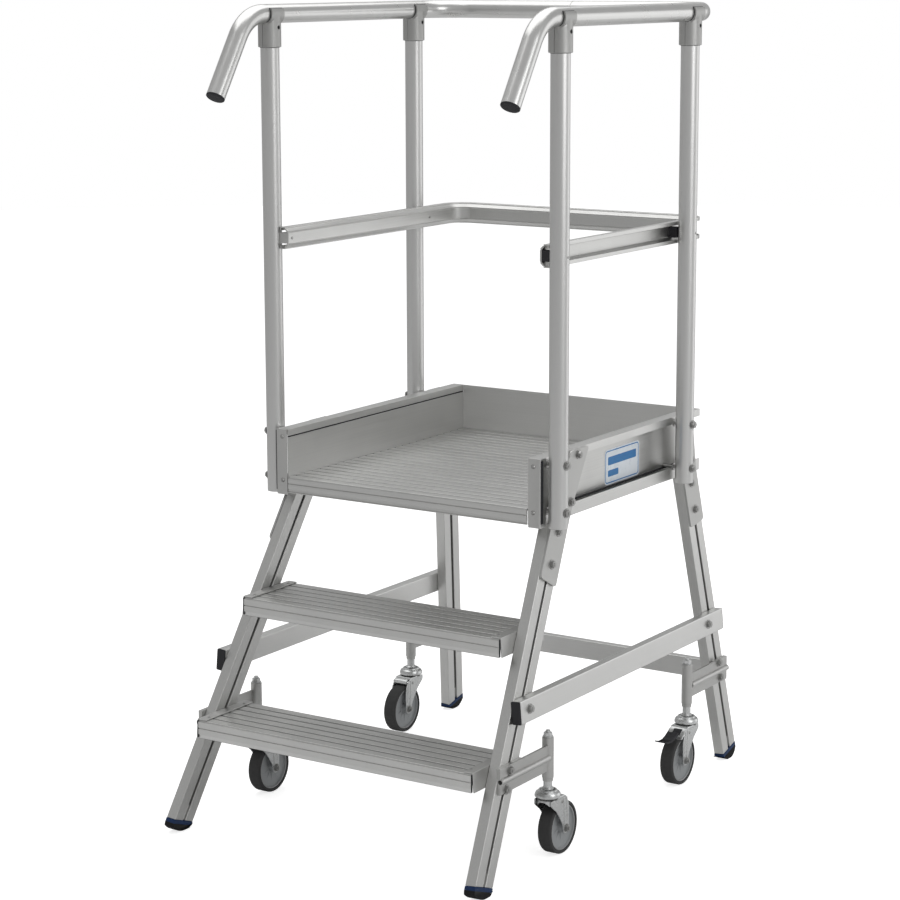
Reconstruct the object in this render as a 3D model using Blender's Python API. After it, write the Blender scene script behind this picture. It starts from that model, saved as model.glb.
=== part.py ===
"""Rolling warehouse ladder: three steps to a railed platform on four legs with sprung casters.

Axes: +X is the climber's right, +Y points from the steps to the platform's rear, +Z is up.
Lengths are metres. Every Y below is measured from the axis of the front posts; one empty,
assembly_origin, then moves the whole ladder so that its box is centred on the Z axis.
"""
import math

import bmesh
import bpy
from mathutils import Vector
from mathutils.geometry import tessellate_polygon

# ---------------------------------------------------------------- clearances
GAP = 0.0003             # between pieces that touch
RUNNING_GAP = 0.0003     # between a turning or sliding piece and its bore

# ---------------------------------------------------------------- overall sizes
STEP_PITCH = 0.240       # rise from floor to tread, tread to tread, tread to platform
STEP_COUNT = 3           # the platform is the last step
DECK_HALF_WIDTH = 0.3007
POST_SPACING_Y = 0.548   # front post axis to rear post axis
RAIL_ABOVE_DECK = 0.9844  # axis of the top rail above the platform
DECK_TOP = STEP_PITCH * STEP_COUNT

# ---------------------------------------------------------------- platform frame
BEAM_WIDTH = 0.028
BEAM_BELOW_DECK = 0.035
BEAM_ABOVE_DECK = 0.104
BEAM_WALL = 0.0025
BEAM_TOP_LIP = 0.016
BEAM_BOTTOM_LIP = 0.026
BEAM_FRONT_Y = -0.029
BEAM_BEHIND_POST = 0.124
TOE_BOARD_WALL = 0.003
DECK_FRONT_Y = -0.033
DECK_NOSE_HEIGHT = 0.034
DECK_PLANK_COUNT = 4
PLANK_SKIN = 0.0025
RIB_PITCH = 0.0295
RIB_WIDTH = 0.0210
RIB_HEIGHT = 0.0012
ANGLE_WALL = 0.0025
ANGLE_WIDTH = 0.026
ANGLE_FLANGE_END_Y = -0.009
ANGLE_BELOW_BEAM = 0.004
ANGLE_BEND_RADIUS = 0.003

# ---------------------------------------------------------------- posts and rails
POST_RADIUS = 0.020
TUBE_WALL = 0.002
POST_STANDOFF = 0.0065   # clear space between side beam and post
POST_BELOW_DECK = 0.040
RAIL_RADIUS = 0.020
RAIL_REAR_OVERHANG = 0.117
RAIL_PAST_CLAMP = 0.0015  # straight rail between a clamp and the next bend
HANDLE_BEND = 0.100
HANDLE_LEAN = math.radians(57.0)   # how far the handles turn down from level
HANDLE_STRAIGHT = 0.143
PLUG_HEAD = 0.0025
PLUG_SPIGOT = 0.012
SOCKET_WALL = 0.0042
SOCKET_HEIGHT_BELOW_RAIL = 0.0697
CHEEK_ABOVE_RAIL_AXIS = 0.0111
CHEEK_LENGTH = 0.043
KNEE_BOTTOM_ABOVE_DECK = 0.489
KNEE_HEIGHT = 0.0475
KNEE_THICKNESS = 0.022
KNEE_WALL = 0.0025
KNEE_WEB_HEIGHT = 0.026  # flat face towards the climber, between the two chamfers
KNEE_CHAMFER = 0.009
KNEE_LIP = 0.008         # lips along the open side, towards the posts
KNEE_POST_GAP = 0.002
KNEE_FRONT_Y = -0.003
KNEE_REAR_OVERHANG = 0.131   # rear post axis to the middle of the rear run
KNEE_BEND = 0.045

# ---------------------------------------------------------------- legs
SPLAY = 0.0871           # sideways spread for each metre of height, 5 degrees
LEG_THICKNESS = 0.0241
LEG_WALL = 0.0018
LEG_PROUD = 0.0009       # leg outer face outside the beam, where they meet
LEG_SLOT_WIDTH = 0.010
LEG_SLOT_DEPTH = 0.003
GUSSET_THICKNESS = 0.005
GUSSET_CORNER = 0.006
GUSSET_TOP_BELOW_BEAM_TOP = 0.001
GUSSET_BELOW_BEAM = 0.116

# ---------------------------------------------------------------- treads and braces
TREAD_DEPTH = 0.1655
TREAD_OVERHANG = 0.0625  # ahead of the front leg's front face
TREAD_HEIGHT = 0.038
BRACKET_PLATE = 0.003
BRACKET_FLANGE = 0.020
BRACKET_FLANGE_THICKNESS = 0.0028
SIDE_BRACE_Z = 0.338
SIDE_BRACE_HEIGHT = 0.048
SIDE_BRACE_THICKNESS = 0.022
SIDE_BRACE_WALL = 0.002
SIDE_BRACE_FRONT_INSET = 0.003
SIDE_BRACE_REAR_INSET = 0.012
REAR_BRACE_Z = 0.2205
REAR_BRACE_HEIGHT = 0.044
REAR_BRACE_THICKNESS = 0.022
REAR_BRACE_INSET = 0.005

# ---------------------------------------------------------------- casters
WHEEL_RADIUS = 0.056
WHEEL_WIDTH = 0.032
WHEEL_LIFT = 0.0005      # tyre above the floor when the ladder stands on its feet
CASTER_TRAIL = 0.040
CASTER_X_FROM_LEG = 0.0012   # sleeve axis outside the leg face at arm height
SLEEVE_RADIUS = 0.012
SLEEVE_TOP_WALL = 0.005
STEM_RADIUS = 0.009
STUD_RADIUS = 0.005
KING_PIN_RADIUS = 0.006
ARM_CENTRE_Z = 0.2165
ARM_HEIGHT = 0.054
ARM_THICKNESS = 0.005
ARM_RIB_RADIUS = 0.0065
HEAD_RADIUS = 0.027
HEAD_BOTTOM_Z = 0.128
HEAD_TOP_Z = 0.148
FORK_PLATE = 0.0025
FORK_SIDE_GAP = 0.0025   # tyre side to fork plate
AXLE_RADIUS = 0.004
HUB_RIM_RADIUS = 0.0480
HUB_RIM_WALL = 0.0035
PEDAL_HINGE_OFFSET = 0.0655
PEDAL_HINGE_Z = 0.121
PEDAL_TIP_OFFSET = 0.1255

# ---------------------------------------------------------------- smoothness
TUBE_SIDES = 16
BEND_STEPS = 5
WHEEL_SIDES = 28
HUB_SIDES = 20
TURNED_SIDES = 16

# ---------------------------------------------------------------- derived places
BEAM_INNER_X = DECK_HALF_WIDTH + GAP
BEAM_OUTER_X = BEAM_INNER_X + BEAM_WIDTH
BEAM_BOTTOM = DECK_TOP - BEAM_BELOW_DECK
BEAM_TOP = DECK_TOP + BEAM_ABOVE_DECK
BEAM_REAR_Y = POST_SPACING_Y + BEAM_BEHIND_POST
POST_X = BEAM_OUTER_X + POST_STANDOFF + POST_RADIUS
POST_BOTTOM = DECK_TOP - POST_BELOW_DECK
RAIL_Z = DECK_TOP + RAIL_ABOVE_DECK
RAIL_REAR_Y = POST_SPACING_Y + RAIL_REAR_OVERHANG
POST_TOP = RAIL_Z - RAIL_RADIUS - 2.0 * GAP
POST_BORE = POST_RADIUS + GAP
SOCKET_RADIUS = POST_BORE + SOCKET_WALL
HANDLE_BEND_START_Y = -SOCKET_RADIUS - RAIL_PAST_CLAMP
RAIL_REAR_BEND = RAIL_REAR_OVERHANG - SOCKET_RADIUS - RAIL_PAST_CLAMP
LEG_TOP = BEAM_BOTTOM - GAP
AXLE_Z = WHEEL_RADIUS + WHEEL_LIFT
SIDES = {"left": -1.0, "right": 1.0}


class LegLine:
    """One pair of legs: where its front face runs and what its foot looks like."""

    def __init__(self, name, face_y_at_beam, lean, depth, outward, foot):
        self.name = name
        self.face_y_at_beam = face_y_at_beam
        self.lean = lean          # dy/dz of the leg
        self.depth = depth        # level depth of the leg in Y
        self.outward = outward    # -1 where the foot points to the front, +1 to the rear
        self.foot = foot

    def face_y(self, z):
        """Y of the front face at height z."""
        return self.face_y_at_beam + self.lean * (z - BEAM_BOTTOM)

    def outer_edge_y(self, z):
        """Y of the face that looks away from the ladder's middle."""
        return self.face_y(z) + (self.depth if self.outward > 0 else 0.0)

    def inner_edge_y(self, z):
        """Y of the face that looks to the ladder's middle."""
        return self.face_y(z) + (0.0 if self.outward > 0 else self.depth)


FRONT_FOOT = {"cut_z": 0.035, "cut_slope": math.tan(math.radians(20.0)), "collar": 0.011,
              "toe_reach": 0.006, "toe_z": 0.024, "flat_from_edge": 0.041, "heel_reach": 0.0,
              "heel_z": 0.008, "flat": 0.014}
REAR_FOOT = {"cut_z": 0.032, "cut_slope": math.tan(math.radians(14.5)), "collar": 0.009,
             "toe_reach": 0.0015, "toe_z": 0.024, "flat_from_edge": 0.0295, "heel_reach": 0.0015,
             "heel_z": 0.008, "flat": 0.014}
FRONT_LEG = LegLine("front", 0.0097, 0.5746, 0.0733, -1.0, FRONT_FOOT)
REAR_LEG = LegLine("rear", POST_SPACING_Y + 0.0374, -0.1745, 0.0632, 1.0, REAR_FOOT)
LEG_LINES = (FRONT_LEG, REAR_LEG)


class CasterPlace:
    """Where one pair of casters stands; trail is the side of the swivel its wheel lies on."""

    def __init__(self, leg, axis_y, trail, sleeve_bottom, sleeve_top):
        self.leg = leg
        self.axis_y = axis_y
        self.trail = trail
        self.sleeve_bottom = sleeve_bottom
        self.sleeve_top = sleeve_top


FRONT_CASTER_FROM_LEG = 0.122   # leg's inner edge to sleeve axis, at arm height
REAR_CASTER_FROM_LEG = 0.1214
FRONT_CASTER = CasterPlace(FRONT_LEG, FRONT_LEG.inner_edge_y(ARM_CENTRE_Z) + FRONT_CASTER_FROM_LEG,
                           1.0, 0.166, 0.259)
REAR_CASTER = CasterPlace(REAR_LEG, REAR_LEG.inner_edge_y(ARM_CENTRE_Z) - REAR_CASTER_FROM_LEG,
                          -1.0, 0.169, 0.267)
CASTERS = (FRONT_CASTER, REAR_CASTER)

FINISHES = {
    "aluminium": ((0.62, 0.62, 0.60), 0.36, 1.0),
    "cast": ((0.42, 0.42, 0.41), 0.50, 1.0),
    "zinc": ((0.66, 0.67, 0.68), 0.30, 1.0),
    "black": ((0.02, 0.02, 0.022), 0.55, 0.0),
    "rubber": ((0.035, 0.035, 0.037), 0.75, 0.0),
    "hub": ((0.33, 0.34, 0.35), 0.45, 0.0),
}


# ================================================================ mesh helpers
def leg_outer_x(z):
    """X of the legs' outer faces at height z, on the right side."""
    return BEAM_OUTER_X + LEG_PROUD + SPLAY * (BEAM_BOTTOM - z)


def leg_inner_x(z):
    """X of the legs' inner faces at height z, on the right side."""
    return leg_outer_x(z) - LEG_THICKNESS


def finish_mesh(name, bm):
    """Turn every face outwards and store the bmesh as a mesh."""
    bmesh.ops.recalc_face_normals(bm, faces=bm.faces)
    mesh = bpy.data.meshes.new(name)
    bm.to_mesh(mesh)
    bm.free()
    return mesh


def prism(name, start_loops, end_loops):
    """Solid between two matching sets of loops; the first loop is the outline, the rest are holes."""
    bm = bmesh.new()
    starts = [[bm.verts.new(point) for point in loop] for loop in start_loops]
    ends = [[bm.verts.new(point) for point in loop] for loop in end_loops]
    for start, end in zip(starts, ends):
        for i in range(len(start)):
            j = (i + 1) % len(start)
            bm.faces.new((start[i], start[j], end[j], end[i]))
    for loops, verts in ((start_loops, starts), (end_loops, ends)):
        flat = [vert for loop in verts for vert in loop]
        for triangle in tessellate_polygon([[Vector(point) for point in loop] for loop in loops]):
            bm.faces.new([flat[index] for index in triangle])
    return finish_mesh(name, bm)


def loft(name, rings, cyclic):
    """Skin through rings of equal length; cyclic joins the last ring to the first, else both are capped."""
    bm = bmesh.new()
    loops = [[bm.verts.new(point) for point in ring] for ring in rings]
    pairs = list(zip(loops, loops[1:]))
    if cyclic:
        pairs.append((loops[-1], loops[0]))
    for first, second in pairs:
        for i in range(len(first)):
            j = (i + 1) % len(first)
            bm.faces.new((first[i], first[j], second[j], second[i]))
    if not cyclic:
        bm.faces.new(loops[0])
        bm.faces.new(loops[-1])
    return finish_mesh(name, bm)


def turned(name, profile, sides, hollow, along_x=False):
    """Body of revolution from (radius, height) points about Z, or about X with along_x."""
    rings = []
    for radius, height in profile:
        ring = []
        for i in range(sides):
            angle = 2.0 * math.pi * i / sides
            a, b = radius * math.cos(angle), radius * math.sin(angle)
            ring.append((height, a, b) if along_x else (a, b, height))
        rings.append(ring)
    return loft(name, rings, hollow)


def box_mesh(name, low, high):
    """Axis-aligned block between two corners."""
    outline = [(low[0], low[1]), (high[0], low[1]), (high[0], high[1]), (low[0], high[1])]
    return prism(name, [[(x, y, low[2]) for x, y in outline]], [[(x, y, high[2]) for x, y in outline]])


def combine(name, base, steps):
    """Mesh of base after each ("UNION" or "DIFFERENCE", mesh) step, by exact Booleans."""
    body = bpy.data.objects.new(name, base)
    bpy.context.scene.collection.objects.link(body)
    tools = []
    for operation, mesh in steps:
        tool = bpy.data.objects.new(name + "_tool", mesh)
        bpy.context.scene.collection.objects.link(tool)
        tools.append(tool)
        cut = body.modifiers.new(operation, "BOOLEAN")
        cut.operation = operation
        cut.solver = "EXACT"
        cut.object = tool
    result = bpy.data.meshes.new_from_object(body.evaluated_get(bpy.context.evaluated_depsgraph_get()))
    result.name = name
    for leftover in [body, *tools]:
        bpy.data.objects.remove(leftover)
    return result


def finish_material(finish):
    """Principled material of a named finish, made once."""
    material = bpy.data.materials.get(finish)
    if material is None:
        colour, roughness, metallic = FINISHES[finish]
        material = bpy.data.materials.new(finish)
        material.use_nodes = True
        shader = material.node_tree.nodes["Principled BSDF"]
        shader.inputs["Base Color"].default_value = (*colour, 1.0)
        shader.inputs["Roughness"].default_value = roughness
        shader.inputs["Metallic"].default_value = metallic
    return material


def place(name, mesh, finish, parent, location=(0.0, 0.0, 0.0), turn=0.0, smooth=False):
    """Make one named sub-part from a mesh under parent, turned about Z."""
    part = bpy.data.objects.new(name, mesh)
    bpy.context.scene.collection.objects.link(part)
    if not mesh.materials:
        mesh.materials.append(finish_material(finish))
    if smooth:
        mesh.shade_smooth()
        mesh.set_sharp_from_angle(angle=math.radians(35.0))
    part.parent = parent
    part.location = location
    part.rotation_euler = (0.0, 0.0, turn)
    return part


def empty(name, parent, location, turn=0.0):
    """Guide point on a joint axis."""
    guide = bpy.data.objects.new(name, None)
    guide.empty_display_size = 0.05
    bpy.context.scene.collection.objects.link(guide)
    guide.parent = parent
    guide.location = location
    guide.rotation_euler = (0.0, 0.0, turn)
    return guide


def arc(centre, radius, start, end, steps):
    """Points on a circle in a plane, both ends included; angles in radians."""
    points = []
    for i in range(steps + 1):
        angle = start + (end - start) * i / steps
        points.append((centre[0] + radius * math.cos(angle), centre[1] + radius * math.sin(angle)))
    return points


# ================================================================ swept rails
def right_of(tangent):
    """Level direction square to the path, on its right-hand side."""
    return Vector((tangent.y, -tangent.x, 0.0)).normalized()


def sweep(name, path, outline):
    """Open channel or solid bar along a path; outline points are (side, up)."""
    rings = []
    for i, point in enumerate(path):
        before = (point - path[i - 1]).normalized() if i else None
        after = (path[i + 1] - point).normalized() if i + 1 < len(path) else None
        tangent = ((before or after) + (after or before)).normalized()
        side = right_of(tangent)
        up = side.cross(tangent).normalized()
        stretch = 1.0 / tangent.dot(after or before)
        rings.append([point + side * a * stretch + up * b for a, b in outline])
    return loft(name, rings, False)


def handle_points(side_x):
    """Centre line of one down-turned handle, from its free end up to the level rail."""
    turn_centre = (HANDLE_BEND_START_Y, RAIL_Z - HANDLE_BEND)
    bend = arc(turn_centre, HANDLE_BEND, math.pi / 2.0 + HANDLE_LEAN, math.pi / 2.0, BEND_STEPS)
    low_y, low_z = bend[0]
    end_y = low_y - HANDLE_STRAIGHT * math.cos(HANDLE_LEAN)
    end_z = low_z - HANDLE_STRAIGHT * math.sin(HANDLE_LEAN)
    return [Vector((side_x, y, z)) for y, z in [(end_y, end_z)] + bend]


def rail_path():
    """Centre line of the top rail: left handle, left run, rear run, right run, right handle."""
    left = handle_points(-POST_X)
    centre_y = RAIL_REAR_Y - RAIL_REAR_BEND
    corner_x = POST_X - RAIL_REAR_BEND
    left_bend = arc((-corner_x, centre_y), RAIL_REAR_BEND, math.pi, math.pi / 2.0, BEND_STEPS)
    rear_left = [Vector((x, y, RAIL_Z)) for x, y in left_bend]
    half = left + rear_left
    mirrored = [Vector((-point.x, point.y, point.z)) for point in reversed(half)]
    return half + mirrored


def tube_rings(path, radius):
    """Rings of a round tube whose section turns with its path without twisting."""
    rings = []
    for i, point in enumerate(path):
        before = (point - path[i - 1]).normalized() if i else (path[1] - point).normalized()
        after = (path[i + 1] - point).normalized() if i + 1 < len(path) else before
        tangent = (before + after).normalized()
        half_turn = tangent.dot(after)
        side = right_of(tangent)
        up = side.cross(tangent).normalized()
        bend = after - before
        ring = []
        for k in range(TUBE_SIDES):
            angle = 2.0 * math.pi * (k + 0.5) / TUBE_SIDES
            offset = side * radius * math.cos(angle) + up * radius * math.sin(angle)
            if bend.length > 1e-6:
                across = bend.normalized()
                offset += across * offset.dot(across) * (1.0 / half_turn - 1.0)
            ring.append(point + offset)
        rings.append(ring)
    return rings


def build_top_rail(parent):
    """One bent tube: both handles, both side runs and the rear run, with a plug in each end."""
    path = rail_path()
    rings = tube_rings(path, RAIL_RADIUS) + tube_rings(path, RAIL_RADIUS - TUBE_WALL)[::-1]
    place("top_rail", loft("top_rail", rings, True), "aluminium", parent, smooth=True)
    spigot_radius = (RAIL_RADIUS - TUBE_WALL) * math.cos(math.pi / TUBE_SIDES) - GAP
    profile = [(RAIL_RADIUS, PLUG_HEAD), (RAIL_RADIUS, 0.0),
               (spigot_radius, 0.0), (spigot_radius, -PLUG_SPIGOT)]
    for side, sign in SIDES.items():
        end, above = (handle_points(sign * POST_X)[i] for i in (0, 1))
        outward = (end - above).normalized()
        mesh = turned("handle_plug_" + side, profile, TUBE_SIDES, False)
        rotation = Vector((0.0, 0.0, 1.0)).rotation_difference(outward)
        mesh.transform(rotation.to_matrix().to_4x4())
        place("handle_plug_" + side, mesh, "black", parent, end + outward * GAP, smooth=True)


def build_knee_rail(parent):
    """Channel inside the posts, its open side towards them, bent round the rear corners."""
    centre_x = POST_X - POST_RADIUS - KNEE_POST_GAP - KNEE_THICKNESS / 2.0
    rear_y = POST_SPACING_Y + KNEE_REAR_OVERHANG
    mid_z = DECK_TOP + KNEE_BOTTOM_ABOVE_DECK + KNEE_HEIGHT / 2.0
    corner_x, corner_y = centre_x - KNEE_BEND, rear_y - KNEE_BEND
    bend = arc((-corner_x, corner_y), KNEE_BEND, math.pi, math.pi / 2.0, BEND_STEPS)
    half = [Vector((-centre_x, KNEE_FRONT_Y, mid_z))] + [Vector((x, y, mid_z)) for x, y in bend]
    path = half + [Vector((-point.x, point.y, point.z)) for point in reversed(half)]
    inner, wall = KNEE_THICKNESS / 2.0, KNEE_WALL
    chamfer = inner - KNEE_CHAMFER
    high, web = KNEE_HEIGHT / 2.0, KNEE_WEB_HEIGHT / 2.0
    upper = [(inner, web), (chamfer, high), (-inner, high), (-inner, high - KNEE_LIP),
             (wall - inner, high - KNEE_LIP), (wall - inner, high - wall),
             (chamfer - wall / 2.0, high - wall), (inner - wall, web - wall / 2.0)]
    outline = upper + [(a, -b) for a, b in reversed(upper)]
    place("knee_rail", sweep("knee_rail", path, outline), "aluminium", parent)


# ================================================================ posts and connectors
def build_posts(parent):
    """Four round tubes that stand outside the side beams and end under the top rail."""
    outer, inner = POST_RADIUS, POST_RADIUS - TUBE_WALL
    profile = [(outer, POST_BOTTOM), (outer, POST_TOP), (inner, POST_TOP), (inner, POST_BOTTOM)]
    mesh = turned("post", profile, TUBE_SIDES, True)
    for row, y in (("front", 0.0), ("rear", POST_SPACING_Y)):
        for side, sign in SIDES.items():
            place(f"post_{row}_{side}", mesh, "aluminium", parent, (sign * POST_X, y, 0.0), smooth=True)


def build_rail_clamps(parent):
    """Cast clamps that hold the top rail on each post: a socket below and two cheeks beside the rail."""
    rail_bore = RAIL_RADIUS + GAP
    saddle_radius = rail_bore + SOCKET_WALL
    bottom, sides = -SOCKET_HEIGHT_BELOW_RAIL, 2 * TUBE_SIDES
    half = CHEEK_LENGTH / 2.0
    socket = turned("socket", [(SOCKET_RADIUS, 0.0), (SOCKET_RADIUS, bottom)], sides, False)
    saddle = turned("saddle", [(saddle_radius, -half), (saddle_radius, half)], sides, False, along_x=True)
    past = SOCKET_RADIUS + saddle_radius
    rail_cut = turned("rail_cut", [(rail_bore, -past), (rail_bore, past)], sides, False, along_x=True)
    for mesh in (saddle, rail_cut):
        for vertex in mesh.vertices:
            vertex.co = (-vertex.co.y, vertex.co.x, vertex.co.z)
    post_cut = turned("post_cut", [(POST_BORE, 0.0), (POST_BORE, bottom - past)], sides, False)
    top_cut = box_mesh("top_cut", (-past, -past, CHEEK_ABOVE_RAIL_AXIS), (past, past, past))
    steps = [("UNION", saddle), ("DIFFERENCE", rail_cut), ("DIFFERENCE", post_cut), ("DIFFERENCE", top_cut)]
    mesh = combine("rail_clamp", socket, steps)
    for row, y in (("front", 0.0), ("rear", POST_SPACING_Y)):
        for side, sign in SIDES.items():
            place(f"rail_clamp_{row}_{side}", mesh, "cast", parent, (sign * POST_X, y, RAIL_Z), smooth=True)


# ================================================================ platform
def plank_outline(front_y, depth, top, height, planks):
    """Side view of ribbed planks with a nose, a rear flange and a web where two planks meet."""
    points = [(front_y, top - height), (front_y, top - RIB_HEIGHT)]
    rib_count = round(depth / RIB_PITCH)
    pitch = depth / rib_count
    for i in range(rib_count):
        middle = front_y + pitch * (i + 0.5)
        low, high = top - RIB_HEIGHT, top
        points += [(middle - RIB_WIDTH / 2.0 - RIB_HEIGHT, low), (middle - RIB_WIDTH / 2.0, high),
                   (middle + RIB_WIDTH / 2.0, high), (middle + RIB_WIDTH / 2.0 + RIB_HEIGHT, low)]
    rear_y = front_y + depth
    points += [(rear_y, top - RIB_HEIGHT), (rear_y, top - height)]
    under = top - RIB_HEIGHT - PLANK_SKIN
    for i in range(planks, 0, -1):
        high_y = front_y + depth * i / planks
        low_y = front_y + depth * (i - 1) / planks
        right = high_y - PLANK_SKIN * (1.0 if i == planks else 0.5)
        left = low_y + PLANK_SKIN * (1.0 if i == 1 else 0.5)
        points += [(right, top - height), (right, under), (left, under), (left, top - height)]
    return points


def build_deck(parent):
    """Platform of ribbed planks between the side beams."""
    depth = BEAM_REAR_Y - TOE_BOARD_WALL - GAP - DECK_FRONT_Y
    outline = plank_outline(DECK_FRONT_Y, depth, DECK_TOP, DECK_NOSE_HEIGHT, DECK_PLANK_COUNT)
    ends = [[(x, y, z) for y, z in outline] for x in (-DECK_HALF_WIDTH, DECK_HALF_WIDTH)]
    place("platform_deck", prism("platform_deck", [ends[0]], [ends[1]]), "aluminium", parent)


def build_side_beams(parent):
    """Outward-facing channels that carry the deck and stand above it as toe boards."""
    inner, outer, wall = BEAM_INNER_X, BEAM_OUTER_X, BEAM_WALL
    low, high = BEAM_BOTTOM, BEAM_TOP
    low_lip, high_lip = low + BEAM_BOTTOM_LIP, high - BEAM_TOP_LIP
    outline = [(inner, low), (outer, low), (outer, low_lip), (outer - wall, low_lip),
               (outer - wall, low + wall), (inner + wall, low + wall), (inner + wall, high - wall),
               (outer - wall, high - wall), (outer - wall, high_lip), (outer, high_lip), (outer, high),
               (inner, high)]
    for side, sign in SIDES.items():
        ends = [[(sign * x, y, z) for x, z in outline] for y in (BEAM_FRONT_Y, BEAM_REAR_Y)]
        place("side_beam_" + side, prism("side_beam_" + side, [ends[0]], [ends[1]]), "aluminium", parent)
    low = (-BEAM_INNER_X + GAP, BEAM_REAR_Y - TOE_BOARD_WALL, BEAM_BOTTOM)
    high = (BEAM_INNER_X - GAP, BEAM_REAR_Y, BEAM_TOP)
    place("rear_toe_board", box_mesh("rear_toe_board", low, high), "aluminium", parent)


def build_corner_angles(parent):
    """Bent plates that cap the front ends of the side beams."""
    outer_x = BEAM_OUTER_X + GAP + ANGLE_WALL
    inner_x = BEAM_OUTER_X + GAP
    back_y = BEAM_FRONT_Y - GAP
    front_y = back_y - ANGLE_WALL
    start_x = outer_x - ANGLE_WIDTH - ANGLE_WALL
    bend_centre = (outer_x - ANGLE_BEND_RADIUS, front_y + ANGLE_BEND_RADIUS)
    bend = arc(bend_centre, ANGLE_BEND_RADIUS, -math.pi / 2.0, 0.0, 3)
    outline = [(start_x, front_y)] + bend + [(outer_x, ANGLE_FLANGE_END_Y), (inner_x, ANGLE_FLANGE_END_Y),
                                             (inner_x, back_y), (start_x, back_y)]
    low, high = BEAM_BOTTOM - ANGLE_BELOW_BEAM, BEAM_TOP
    for side, sign in SIDES.items():
        ends = [[(sign * x, y, z) for x, y in outline] for z in (low, high)]
        name = "corner_angle_" + side
        place(name, prism(name, [ends[0]], [ends[1]]), "aluminium", parent)


# ================================================================ legs
def leg_section(line, inset):
    """Level section of a leg as (inward, rearward) points, slotted on both broad faces."""
    far, deep = LEG_THICKNESS - inset, line.depth - inset
    slot = LEG_SLOT_DEPTH + inset
    low = (line.depth - LEG_SLOT_WIDTH) / 2.0 - inset
    high = (line.depth + LEG_SLOT_WIDTH) / 2.0 + inset
    inner_slot = LEG_THICKNESS - slot
    return [(inset, inset), (far, inset), (far, low), (inner_slot, low), (inner_slot, high), (far, high),
            (far, deep), (inset, deep), (inset, high), (slot, high), (slot, low), (inset, low)]


def foot_cut_z(line, inward, rearward, drop):
    """Height at which a leg's edge meets the sloping cut above its foot."""
    foot = line.foot
    slope_y = line.outward * foot["cut_slope"]
    start_y = line.outer_edge_y(foot["cut_z"])
    y_at_zero = line.face_y(0.0) + rearward
    x_drop = SPLAY * inward
    return (foot["cut_z"] - drop - x_drop + slope_y * (y_at_zero - start_y)) / (1.0 - slope_y * line.lean)


def leg_point(line, sign, inward, rearward, z):
    """Point of a leg's edge line at height z."""
    return (sign * (leg_outer_x(z) - inward), line.face_y(z) + rearward, z)


def build_legs(parent):
    """Four slotted box legs between the side beams and the feet."""
    for line in LEG_LINES:
        loops = [leg_section(line, 0.0), leg_section(line, LEG_WALL)]
        for side, sign in SIDES.items():
            top = [[leg_point(line, sign, a, b, LEG_TOP) for a, b in loop] for loop in loops]
            bottom = []
            for loop in loops:
                bottom.append([leg_point(line, sign, a, b, foot_cut_z(line, a, b, 0.0)) for a, b in loop])
            name = f"leg_{line.name}_{side}"
            place(name, prism(name, top, bottom), "aluminium", parent)


def foot_outline(line, inward):
    """Side view of a foot at one depth across its leg: collar, rounded toe, flat sole and heel."""
    foot, out = line.foot, line.outward
    toe_edge, heel_edge = line.outer_edge_y(0.0), line.inner_edge_y(0.0)
    toe_rear = line.depth if out > 0 else 0.0
    cut_toe = foot_cut_z(line, inward, toe_rear, GAP)
    cut_heel = foot_cut_z(line, inward, line.depth - toe_rear, GAP)
    toe_top_y, heel_top_y = line.outer_edge_y(cut_toe), line.inner_edge_y(cut_heel)
    toe = (toe_top_y + out * foot["toe_reach"], foot["toe_z"] - SPLAY * inward)
    flat_toe = toe[0] - out * foot["flat_from_edge"]
    flat_heel = flat_toe - out * foot["flat"]
    run = abs(flat_toe - toe[0])
    radius = (run * run + toe[1] * toe[1]) / (2.0 * toe[1])
    sweep_angle = math.asin(min(1.0, run / radius))
    sole = []
    for i in range(BEND_STEPS + 1):
        angle = sweep_angle * (1.0 - i / BEND_STEPS)
        sole.append((flat_toe + out * radius * math.sin(angle), radius * (1.0 - math.cos(angle))))
    heel = (heel_top_y - out * foot["heel_reach"], foot["heel_z"])
    return [(toe_top_y, cut_toe)] + sole + [(flat_heel, 0.0), heel, (heel_top_y, cut_heel)]


def build_feet(parent):
    """Plastic feet: each fills the end of its leg and stands on a small flat."""
    for line in LEG_LINES:
        for side, sign in SIDES.items():
            loops = []
            for inward in (0.0, LEG_THICKNESS):
                outline = foot_outline(line, inward)
                loops.append([(sign * (leg_outer_x(z) - inward), y, z) for y, z in outline])
            name = f"foot_{line.name}_{side}"
            place(name, prism(name, [loops[0]], [loops[1]]), "rubber", parent)


def gusset_rows(line):
    """Pairs of (y, z) edge points down a gusset plate, with rounded corners and a row at its bend."""
    top = BEAM_TOP - GUSSET_TOP_BELOW_BEAM_TOP
    bottom = BEAM_BOTTOM - GUSSET_BELOW_BEAM
    bend_z = BEAM_BOTTOM + LEG_PROUD / SPLAY
    length = math.hypot(1.0, line.lean)
    along = (line.lean / length, 1.0 / length)
    across = (1.0 / length, -line.lean / length)
    half = line.depth / length / 2.0
    rows = []
    for i in range(4):
        angle = math.pi / 2.0 * i / 3.0
        inset = GUSSET_CORNER * (1.0 - math.sin(angle))
        z = top - GUSSET_CORNER * (1.0 - math.cos(angle))
        rows.append(((line.face_y(z) + inset, z), (line.face_y(z) + line.depth - inset, z)))
    rows.append(((line.face_y(bend_z), bend_z), (line.face_y(bend_z) + line.depth, bend_z)))
    middle = (line.face_y(bottom) + line.depth / 2.0, bottom)
    for i in range(4):
        angle = math.pi / 2.0 * i / 3.0
        reach = half - GUSSET_CORNER * (1.0 - math.cos(angle))
        rise = GUSSET_CORNER * (1.0 - math.sin(angle))
        pair = []
        for end in (-1.0, 1.0):
            pair.append((middle[0] + across[0] * reach * end + along[0] * rise,
                         middle[1] + across[1] * reach * end + along[1] * rise))
        rows.append(tuple(pair))
    return rows


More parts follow.
